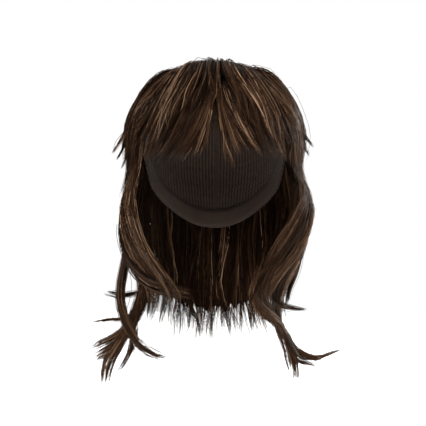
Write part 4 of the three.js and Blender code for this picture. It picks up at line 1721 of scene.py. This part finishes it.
@dataclass
class Studio:
    """A pale floor, a white room, soft lights and the camera that faces the wig."""

    floor_level: float = -0.42
    floor_reach: float = 2.2
    camera_distance: float = 1.4
    camera_height: float = -0.149
    camera_side: float = -0.002
    pixels_per_metre: float = 936.0
    picture: int = 426
    sensor: float = 36.0
    room: float = 1.0
    floor_white: float = 0.95
    floor_roughness: float = 0.9
    floor_specular: float = 0.1
    view_reach: float = 100.0
    lamps: tuple[tuple[str, tuple[float, float, float], float, float], ...] = (
        ("key", (-1.0, -1.5, 1.0), 0.5, 125.0),
        ("fill", (1.5, -1.2, 0.5), 0.6, 55.0),
        ("back_key", (1.65, 0.9, 0.35), 0.6, 50.0),
        ("back_fill", (-1.65, 0.9, 0.25), 0.6, 40.0),
    )

    def build(self) -> None:
        """Builds the floor, the room, the lights and the camera."""
        self.floor()
        self.world()
        for name, place, size, power in self.lamps:
            self.light(name, place, size, power)
        self.camera()

    def floor(self) -> None:
        """Lays the floor."""
        half = self.floor_reach
        mesh = bpy.data.meshes.new("studio_floor")
        corners = [(-half, -half, 0.0), (half, -half, 0.0), (half, half, 0.0), (-half, half, 0.0)]
        mesh.from_pydata(corners, [], [(0, 1, 2, 3)])
        floor = bpy.data.objects.new("studio_floor", mesh)
        floor.location.z = self.floor_level
        bpy.context.scene.collection.objects.link(floor)
        material, _, _, shader = new_material("studio_floor")
        white = self.floor_white
        shader.inputs["Base Color"].default_value = (white, white, white, 1.0)
        shader.inputs["Roughness"].default_value = self.floor_roughness
        shader.inputs["Specular IOR Level"].default_value = self.floor_specular
        mesh.materials.append(material)

    def world(self) -> None:
        """Lights the room evenly white."""
        world = bpy.data.worlds.new("studio_room")
        world.use_nodes = True
        shader = world.node_tree.nodes["Background"]
        shader.inputs["Color"].default_value = (1.0, 1.0, 1.0, 1.0)
        shader.inputs["Strength"].default_value = self.room
        bpy.context.scene.world = world
        bpy.context.scene.view_settings.view_transform = "Standard"

    def light(self, name: str, place: tuple[float, float, float], size: float, power: float) -> None:
        """Hangs a soft square light that faces the middle of the wig.

        Args:
            name: Name of the light.
            place: Where it hangs.
            size: Its side.
            power: Its power, in watts.
        """
        lamp = bpy.data.lights.new(name, "AREA")
        lamp.size = size
        lamp.energy = power
        thing = bpy.data.objects.new(name, lamp)
        thing.location = place
        aim = Vector((0.0, 0.0, self.camera_height)) - Vector(place)
        thing.rotation_euler = aim.to_track_quat("-Z", "Y").to_euler()
        bpy.context.scene.collection.objects.link(thing)

    def camera(self) -> None:
        """Places the camera, level and square to the face."""
        lens = bpy.data.cameras.new("camera")
        lens.sensor_width = self.sensor
        lens.lens = self.pixels_per_metre * self.camera_distance / self.picture * self.sensor
        lens.clip_end = self.view_reach
        camera = bpy.data.objects.new("camera", lens)
        camera.location = (self.camera_side, -self.camera_distance, self.camera_height)
        camera.rotation_euler = (math.pi / 2.0, 0.0, 0.0)
        bpy.context.scene.collection.objects.link(camera)
        bpy.context.scene.camera = camera


# Painted shade: near-black tones for the sheets of dense hair inside the layers.
PAINTED_SHADE_TONES = ((0.0, (0.0006, 0.0002, 0.0001)), (0.5, (0.0034, 0.0014, 0.0007)))


def main() -> None:
    """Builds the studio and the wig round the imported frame."""
    logging.basicConfig(level=logging.INFO, format="%(name)s: %(message)s")
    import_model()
    Studio().build()
    head = HeadForm()
    knit = KnitFinish().material("cap_knit")
    elastic = KnitFinish(ribs=900.0, roughness=0.8).material("edge_elastic")
    cap = WigCap(head)
    seat(cap.cap(knit), "wig_cap")
    seat(cap.band(elastic), "edge_band")
    # The sheets of dense hair are painted near black: painted shade between the strands.
    shaded_depths = HairFinish(tones=PAINTED_SHADE_TONES, roughness=0.9, specular=0.02)
    HairDresser(head, Stack()).dress(HairFinish().material("hair"), shaded_depths.material("hair_depths"))


if __name__ == "__main__":
    main()
